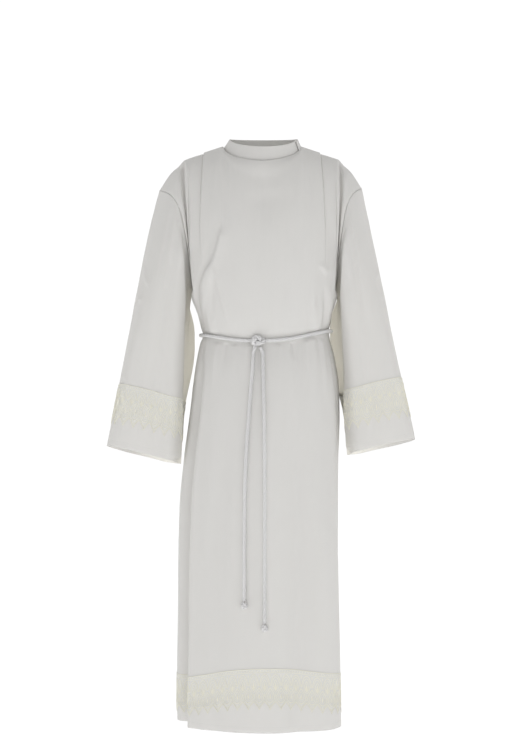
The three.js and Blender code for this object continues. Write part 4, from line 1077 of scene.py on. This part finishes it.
class Band:
    """The cloth under a strip of lace, read by the way along it, in pitches, and the millimetres down it."""

    def __init__(self, points, outward, wrapped):
        self.points = points
        self.wrapped = wrapped
        self.pitches = (points.shape[1] - 1) // BAND_STEPS
        along = np.gradient(points, axis=1)
        if wrapped:
            along[:, 0] = along[:, -1] = points[:, 1] - points[:, -2]
        self.normals = unit(np.cross(along, np.gradient(points, axis=0))) * outward
        self.pitch = run_lengths(points[int(BAND_ROWS * LACE_NOTCH / LACE_POINT)])[-1] / self.pitches

    def at(self, along, depth, lift):
        x = along * BAND_STEPS
        last = self.points.shape[1] - 1
        x = np.mod(x, last) if self.wrapped else np.clip(x, 0, last)
        y = np.clip(depth / LACE_POINT, 0, 1) * (BAND_ROWS - 1)
        i, j = np.minimum(x.astype(int), last - 1), np.minimum(y.astype(int), BAND_ROWS - 2)
        fx, fy = (x - i)[..., None], (y - j)[..., None]

        def read(grid):
            upper = grid[j, i] * (1 - fx) + grid[j, i + 1] * fx
            lower = grid[j + 1, i] * (1 - fx) + grid[j + 1, i + 1] * fx
            return upper * (1 - fy) + lower * fy

        return read(self.points) + unit(read(self.normals)) * np.asarray(lift)[..., None]


def even_places(places, points):
    """The places of a line of points, moved so that they are evenly spaced along it, by whole pitches."""
    lengths = run_lengths(points)
    count = round(lengths[-1] / LACE_PITCH) * BAND_STEPS
    return np.interp(np.linspace(0, lengths[-1], count + 1), lengths, places)


def hem_band(half):
    s = np.linspace(-1, 1, EDGE_SAMPLES)
    s = even_places(s, body_point(half, s, LACE_NOTCH_ROW))
    rows = [LACE_TOP_ROW, LACE_NOTCH_ROW, LACE_POINT_ROW]
    t = np.interp(np.linspace(0, LACE_POINT, BAND_ROWS), [0, LACE_NOTCH, LACE_POINT], rows)
    return Band(body_point(half, s[None, :], t[:, None]), FACING[half], False)


def cuff_band(sleeve):
    a = np.linspace(0, 1, EDGE_SAMPLES)
    a = even_places(a, sleeve_point(sleeve, a, share_above(sleeve, a, CUFF_LACE["notch"])))
    rows = [share_above(sleeve, a, CUFF_LACE[key]) for key in ["top", "notch", "point"]]
    depths = np.linspace(0, LACE_POINT, BAND_ROWS)
    stops = [0, LACE_NOTCH, LACE_POINT]
    q = np.array([np.interp(depths, stops, [row[i] for row in rows]) for i in range(len(a))]).T
    return Band(sleeve_point(sleeve, a[None, :], q), sleeve["side"], True)


# One pitch of the lace: an arcade of pointed arches over palmettes, with a long seed shape
# and a pointed scallop between them. Points are millimetres from the middle of a seed and down from the
# upper edge. A mirrored stroke is drawn on both sides, and a leaf swells in its middle.
LINE, LEAF = "line", "leaf"
LACE_STROKES = table(["form", "width", "height", "mirror", "points"], [
    [LINE, 1.5, 0.9, False, [(0, 1), (6.25, 1), (12.5, 1), (18.75, 1), (25, 1)]],
    [LINE, 1.1, 0.7, False, [(0, 7.2), (6.25, 7.4), (12.5, 7.8), (18.75, 7.4), (25, 7.2)]],
    [LEAF, 1.8, 0.6, True, [(1.4, 2.6), (3.2, 4.2), (4.8, 6)]],
    [LEAF, 1.8, 0.6, True, [(7.4, 6), (9.2, 4.4), (11, 2.8)]],
    [LEAF, 2.2, 0.7, False, [(0, 9.8), (0, 13.2), (0, 17.2)]],
    [LINE, 1.6, 1, True, [(0, 33.5), (1.6, 28), (3, 22), (5.4, 16), (8.6, 12.2), (12.5, 10.4)]],
    [LINE, 1.1, 0.7, True, [(3.4, 33), (4.8, 26), (7, 20), (9.6, 16.8), (12.5, 15.4)]],
    [LINE, 1.3, 0.8, True,
     [(12.5, 20.4), (10, 24.6), (7.6, 30), (6.4, 36), (7.4, 41.6), (10, 45.6), (12.5, 47.6)]],
    [LEAF, 3.4, 0.9, False, [(12.5, 25.6), (12.5, 34), (12.5, 44.6)]],
    [LEAF, 2.4, 0.8, True, [(9, 30.6), (9.6, 37), (11.8, 43.8)]],
    [LEAF, 1.9, 0.6, False, [(12.5, 49.6), (12.5, 55), (12.5, 61)]],
    [LEAF, 1.3, 0.5, False, [(12.5, 62.4), (12.5, 67), (12.5, 71.4)]],
    [LINE, 1.7, 1.1, True,
     [(0, 36.6), (2.8, 41), (6.4, 47), (9.2, 55), (10, 63), (8.4, 71), (4.8, 76.4), (0, 78.4)]],
    [LINE, 1.1, 0.8, True, [(0, 43.6), (2.6, 48), (5, 54), (6.2, 61), (5.4, 67.6), (3, 72), (0, 73.6)]],
    [LEAF, 3.8, 0.9, False, [(0, 50), (0, 59), (0, 69)]],
    [LEAF, 1.2, 0.5, True, [(3.9, 57), (4.3, 61.5), (3.4, 66.4)]],
    [LINE, 1.6, 1, True, [(0, 96.6), (1.8, 92), (4.6, 86.4), (8.4, 80.6), (12.5, 76)]],
    [LINE, 1, 0.7, True, [(0, 90), (2, 86.6), (5.2, 81.6), (8.8, 77), (12.5, 72.4)]],
    [LEAF, 1.4, 0.5, False, [(0, 80.4), (0, 83.4), (0, 87)]],
])
LACE_EDGE = [(0, 97.6), (1.8, 93), (4.6, 87.4), (8.4, 81.6), (12.5, 77)]
NET_LIFT, NET_CLOTH = 0.35, 0.35
NET_STEPS, NET_ROWS = 16, 12
STROKE_STEP = 1.9  # distance between points along a stroke, in millimetres
STROKE_SPILL = 0.02  # how far a stroke may pass the end of its band, in pitches
STROKE_FOOT = 0.3  # how deep a stroke's sides stand in the net
LEAF_TIP = 0.3
STROKE_SECTION = np.array([(-0.5, 0), (-0.36, 0.75), (0, 1), (0.36, 0.75), (0.5, 0)])


def lace_strokes():
    """The strokes of one pitch, each as its middle line, sideways direction, width and height."""
    strokes = []
    for stroke in LACE_STROKES:
        line = along_curve(stroke["points"], STROKE_STEP)
        share = np.linspace(0, 1, len(line))
        width = np.full(len(line), float(stroke["width"]))
        if stroke["form"] == LEAF:
            width = LEAF_TIP + (stroke["width"] - LEAF_TIP) * np.sin(math.pi * share) ** 0.8
        for mirror in [1, -1] if stroke["mirror"] else [1]:
            placed = line * (mirror, 1)
            ahead = unit(np.gradient(placed, axis=0))
            strokes.append((placed, np.stack([-ahead[:, 1], ahead[:, 0]], axis=1), width, stroke["height"]))
    return strokes


def lace_cords(name, band, material):
    points, uvs, quads, count = [], [], [], 0
    for line, sideways, width, height in lace_strokes():
        for k in range(band.pitches + (0 if band.wrapped else 1)):
            along = k + line[:, 0] / LACE_PITCH
            inside = np.ones(len(line), bool)
            if not band.wrapped:
                inside = (along > -STROKE_SPILL) & (along < band.pitches + STROKE_SPILL)
            if inside.sum() < 2:
                continue
            spread = STROKE_SECTION[None, :, 0] * width[inside, None]
            u = along[inside, None] + spread * sideways[inside, None, 0] / LACE_PITCH
            depth = line[inside, None, 1] + spread * sideways[inside, None, 1]
            rise = STROKE_SECTION[None, :, 1]
            lift = NET_LIFT + NET_CLOTH + height * rise - STROKE_FOOT * (rise == 0) + 0 * spread
            points.append(band.at(u, depth, lift).reshape(-1, 3))
            run = np.arange(inside.sum())[:, None] * STROKE_STEP + 0 * spread
            uvs.append(np.stack([run, spread], axis=-1).reshape(-1, 2))
            quads.append(grid_quads(inside.sum(), STROKE_SECTION.shape[0], start=count))
            count += inside.sum() * STROKE_SECTION.shape[0]
    uv = np.concatenate(uvs) * MM
    return mesh_object(name, np.concatenate(points), np.concatenate(quads), uv, material)


def lace_net(name, band, material):
    """The net ground, cut to the scallops."""
    along = np.arange(band.pitches * NET_STEPS + (0 if band.wrapped else 1)) / NET_STEPS
    from_tip = np.abs(np.mod(along + 0.5, 1) - 0.5) * LACE_PITCH
    edge = np.interp(from_tip, *zip(*LACE_EDGE))
    share = np.linspace(0, 1, NET_ROWS)
    u, depth = np.broadcast_to(along, (NET_ROWS, len(along))), share[:, None] * edge
    points = band.at(u, depth, np.full(u.shape, NET_LIFT + NET_CLOTH))
    uv = np.stack([u * LACE_PITCH, depth], axis=-1) * MM
    return mesh_object(name, points, grid_quads(NET_ROWS, len(along), wrapped=band.wrapped), uv, material)


# Ropes

STRANDS, ROPE_LAY = 3, 34  # a strand goes once round in this many millimetres
STRAND_SHARE = 0.52  # a strand's radius, as a share of the rope's
ROPE_SIDES = 9
ROPE_STEP = 2.6
TUBE_END = 0.01  # radius that closes the end of a tube
ACROSS = (0.31, 0.52, 0.79)  # a direction that no rope starts in
KNOT_POINTS, KNOT_START = 60, 0.1


def carried_frame(points):
    """Two directions across a line of points that turn as little as possible along it."""
    ahead = unit(np.gradient(points, axis=0))
    start = np.cross(ahead[0], ACROSS)
    first = [start / np.linalg.norm(start)]
    for direction in ahead[1:]:
        kept = first[-1] - direction * np.dot(first[-1], direction)
        first.append(kept / np.linalg.norm(kept))
    first = np.array(first)
    return first, np.cross(ahead, first)


def tube(points, radius, sides):
    """A round tube with closed ends, as points, uv and quads."""
    doubled = [0, *range(len(points)), -1]
    first, second = (directions[doubled] for directions in carried_frame(points))
    reach = np.concatenate([[TUBE_END], np.full(len(points), float(radius)), [TUBE_END]])
    angle = np.arange(sides) * 2 * math.pi / sides
    ring = first[:, None] * np.cos(angle)[None, :, None] + second[:, None] * np.sin(angle)[None, :, None]
    grid = points[doubled][:, None] + ring * reach[:, None, None]
    run = np.concatenate([[0], run_lengths(points), [0]])[:, None] + 0 * angle
    uv = np.stack([angle * radius + 0 * run, run], axis=-1)
    return grid.reshape(-1, 3), uv.reshape(-1, 2), grid_quads(len(doubled), sides, wrapped=True)


def rope(name, points, radius, material):
    """Three strands twisted together along a smooth line through the points, in millimetres."""
    line = along_curve(points, ROPE_STEP)
    first, second = carried_frame(line)
    turn = run_lengths(line) * 2 * math.pi / ROPE_LAY
    strand_radius = radius * STRAND_SHARE
    parts, count = [], 0
    for k in range(STRANDS):
        angle = turn + 2 * math.pi * k / STRANDS
        outward = first * np.cos(angle)[:, None] + second * np.sin(angle)[:, None]
        strand = line + outward * (radius - strand_radius)
        grid, uv, quads = tube(strand, strand_radius, ROPE_SIDES)
        parts.append((grid, uv, quads + count))
        count += len(grid)
    grids, uvs, quads = (np.concatenate(each) for each in zip(*parts))
    return mesh_object(name, grids, quads, uvs * MM, material)


def off_cloth(half, s, t, lift):
    s = np.asarray(s, float)
    t = np.full(s.shape, float(t))
    return smooth_body(half, s, t) + body_normal(half, s, t) * lift


def belt_line():
    """The belt's middle line, once round the waist from one side of the knot to the other."""
    lift = CORD_RADIUS + CORD_LIFT
    share = np.linspace(0, 1, BELT_POINTS + 1)

    def between(half, start, end):
        return off_cloth(half, start + (end - start) * share, BELT_ROW, lift)

    return np.concatenate([
        between(FRONT, KNOT["s"] + KNOT_HALF_TURN, 1),
        between(BACK, 1, 0)[1:],
        between(BACK, 0, -1)[1:-1],
        between(FRONT, -1, KNOT["s"] - KNOT_HALF_TURN),
    ])


def knot_line(centre, reach):
    """A three-lobed knot within the reaches to the side, forward and up from its centre."""
    turn = np.linspace(KNOT_START, 2 * math.pi + KNOT_START, KNOT_POINTS)
    ring = 2 + np.cos(3 * turn)
    lobes = np.stack([ring * np.cos(2 * turn) / 3, np.sin(3 * turn), ring * np.sin(2 * turn) / 3], axis=1)
    return np.array(centre) + lobes * np.array(reach)


# Stitches

STITCH = {"length": 2.5, "gap": 1, "width": 0.5, "height": 0.28}
STITCH_SWELL = np.array([0.25, 0.85, 1, 0.85, 0.25])  # its thickness along it
STITCH_SECTION = np.array([(-0.5, -0.3), (-0.3, 0.8), (0.3, 0.8), (0.5, -0.3)])


def stitch_row(name, line, normals, material):
    """A row of stitches on a line of points with the cloth's normals, in millimetres."""
    lengths = run_lengths(line)
    pitch = STITCH["length"] + STITCH["gap"]
    starts = np.arange(0.5 * pitch, lengths[-1] - pitch, pitch)
    steps, sides = len(STITCH_SWELL), len(STITCH_SECTION)
    along = starts[:, None] + np.linspace(0, STITCH["length"], steps)[None, :]

    def read(values):
        return np.stack([np.interp(along, lengths, values[:, k]) for k in range(3)], axis=-1)

    middle, normal = read(line), unit(read(normals))
    sideways = unit(np.cross(np.gradient(middle, axis=1), normal))
    swell = STITCH_SWELL[None, :, None, None]
    section = STITCH_SECTION[None, None]
    grid = (middle[:, :, None] + sideways[:, :, None] * section[..., :1] * STITCH["width"] * swell
            + normal[:, :, None] * section[..., 1:] * STITCH["height"] * swell)
    quads = np.concatenate([grid_quads(steps, sides, start=steps * sides * k) for k in range(len(starts))])
    uv = np.stack(np.broadcast_arrays(along[:, :, None], section[..., 0]), axis=-1)
    return mesh_object(name, grid, quads, uv * MM, material)


HEM_STITCH, CUFF_STITCH, ARMHOLE_STITCH, COLLAR_STITCH = 14, 14, 3.5, 3  # distances from the edges
STITCH_SAMPLES = 900


def panel_stitches(half, material):
    """The row that holds the turned-up hem."""
    s = np.linspace(-0.995, 0.995, STITCH_SAMPLES)
    length = np.linalg.norm(body_point(half, s, HEM_ROW - 0.5) - body_point(half, s, HEM_ROW), axis=1)
    t = HEM_ROW - 0.5 * HEM_STITCH / length
    line, normals = body_point(half, s, t), body_fine_normal(half, s, t)
    return [stitch_row(f"{half}_hem_stitches", line, normals, material)]


def sleeve_stitches(sleeve, material):
    """The row round the cuff's turn-up, and the one that holds the seam down at the armhole."""
    name = sleeve["name"]
    a = np.linspace(0, 0.999, STITCH_SAMPLES)
    cuff = share_above(sleeve, a, CUFF_STITCH)
    step = 0.02
    below = smooth_sleeve(sleeve, a, np.full(a.shape, step)) - smooth_sleeve(sleeve, a, 0 * a)
    head = step * ARMHOLE_STITCH / np.linalg.norm(below, axis=1)
    rows = []
    for edge, q in [("cuff", cuff), ("armhole", head)]:
        line, normals = sleeve_point(sleeve, a, q), sleeve_fine_normal(sleeve, a, q)
        rows.append(stitch_row(f"{name}_{edge}_stitches", line, normals, material))
    return rows


def collar_stitches(material):
    """The row round the collar, below its upper edge."""
    degrees = np.linspace(COLLAR_LAP["from"] + 4, COLLAR_LAP["to"] - 2, STITCH_SAMPLES)
    lower, upper, out = collar_frame(degrees)
    share = 1 - COLLAR_STITCH / np.linalg.norm(upper - lower, axis=1)
    return stitch_row("collar_stitches", collar_point(degrees, share, 0 * share), out, material)


def make_stage():
    """A pale floor, and light that is as even as a photographer's white room."""
    floor_material, tree = new_material("floor")
    shader = node(tree, "ShaderNodeBsdfDiffuse", Color=FLOOR_COLOUR)
    glow = node(tree, "ShaderNodeEmission", Color=(1, 1, 1, 1), Strength=FLOOR_GLOW)
    both = tree.nodes.new("ShaderNodeAddShader")
    output = tree.nodes.new("ShaderNodeOutputMaterial")
    tree.links.new(shader.outputs[0], both.inputs[0])
    tree.links.new(glow.outputs[0], both.inputs[1])
    tree.links.new(both.outputs[0], output.inputs[0])
    mesh = bpy.data.meshes.new("floor")
    r = FLOOR_REACH
    corners = [(-r, -r, FLOOR_Z), (r, -r, FLOOR_Z), (r, r, FLOOR_Z), (-r, r, FLOOR_Z)]
    mesh.from_pydata(corners, [], [(0, 1, 2, 3)])
    mesh.materials.append(floor_material)
    floor = bpy.data.objects.new("floor", mesh)
    bpy.context.scene.collection.objects.link(floor)
    make_world()
    bpy.context.scene.view_settings.view_transform = "Standard"
    for light in LIGHTS:
        data = bpy.data.lights.new(light["name"], "AREA")
        data.energy = light["power"]
        data.shape = "RECTANGLE"
        data.size, data.size_y = light["size"]
        lamp = bpy.data.objects.new(light["name"], data)
        lamp.location = light["place"]
        lamp.visible_camera = False
        lamp.rotation_euler = (Vector(light["aim"]) - lamp.location).to_track_quat("-Z", "Y").to_euler()
        bpy.context.scene.collection.objects.link(lamp)


def make_world():
    """A room that is seen white on every side. More of its light comes from behind the garment than from
    in front of it, so that the folds keep their shading."""
    world = bpy.data.worlds.new("studio")
    bpy.context.scene.world = world
    world.use_nodes = True
    tree = world.node_tree
    place = tree.nodes.new("ShaderNodeTexCoord")
    split = tree.nodes.new("ShaderNodeSeparateXYZ")
    tree.links.new(place.outputs["Generated"], split.inputs[0])
    level = tree.nodes.new("ShaderNodeMapRange")
    level.interpolation_type = "SMOOTHSTEP"
    for key, value in ROOM.items():
        level.inputs[key].default_value = value
    tree.links.new(split.outputs[1], level.inputs["Value"])
    ray = tree.nodes.new("ShaderNodeLightPath")
    backdrop = math_node(tree, "MULTIPLY", ray.outputs["Is Camera Ray"], BACKDROP)
    strength = math_node(tree, "MAXIMUM", level.outputs[0], backdrop)
    tree.links.new(strength, tree.nodes["Background"].inputs["Strength"])
    tree.nodes["Background"].inputs["Color"].default_value = (1, 1, 1, 1)


def make_camera():
    data = bpy.data.cameras.new("camera")
    data.lens = CAMERA["lens"]
    data.sensor_width = CAMERA["sensor"]
    camera = bpy.data.objects.new("camera", data)
    camera.location = CAMERA["place"]
    camera.rotation_euler = (math.pi / 2, 0, 0)
    bpy.context.scene.collection.objects.link(camera)
    bpy.context.scene.camera = camera


def lay_sheet(piece, slot, node_name):
    """A sheet of cloth in place of a solid."""
    place_on(piece, slot, node_name)


def lay_lace(node_name, band):
    """The net and cords of one lace band, in place of its solid."""
    cords = place_on(lace_cords(f"{node_name}_cords", band, lace_cord), "lace", node_name)
    lay_sheet(lace_net(f"{node_name}_net", band, net), "lace", node_name)


make_camera()
cloth, net, lace_cord, yarn, thread = (
    cloth_material(), net_material(), lace_cord_material(), rope_material(), thread_material())
KNOT_CENTRE = off_cloth(FRONT, [KNOT["s"]], BELT_ROW, KNOT["depth"] + LAID_LIFT + SEAM_GAP)[0]

for name, route in TAILS.items():
    tail = place_on(rope(f"belt_end_{name}_rope", route, CORD_RADIUS, yarn), "rope", f"belt_end_{name}")
    tip = np.array(route[-1]) + (0, -END_KNOT["radius"] / 2, END_KNOT["seat"] - END_KNOT["height"])
    knotted = rope(f"belt_end_{name}_knot_rope", knot_line(tip, END_KNOT["reach"]), END_KNOT["rope"], yarn)
    place_on(knotted, "rope", f"belt_end_{name}_knot")
place_on(rope("belt_rope", belt_line(), CORD_RADIUS, yarn), "rope", "belt_cord")
knot = rope("belt_knot_rope", knot_line(KNOT_CENTRE, KNOT["reach"]), KNOT["rope"], yarn)
place_on(knot, "rope", "belt_knot")

for half in [FRONT, BACK]:
    stitches = [place_on(piece, "cloth") for piece in panel_stitches(half, thread)]
    lay_sheet(panel(half, cloth), "cloth", f"{half}_panel")
    lay_lace(f"hem_lace_{half}", hem_band(half))
for sleeve in SLEEVES:
    name = sleeve["name"]
    stitches = [place_on(piece, "cloth") for piece in sleeve_stitches(sleeve, thread)]
    lay_sheet(sleeve_cloth(sleeve, cloth), "cloth", f"{name}_sleeve")
    lay_lace(f"{name}_cuff_lace", cuff_band(sleeve))
collar_seam = place_on(collar_stitches(thread), "cloth")
lay_sheet(collar_cloth(cloth), "cloth", "collar")
make_stage()
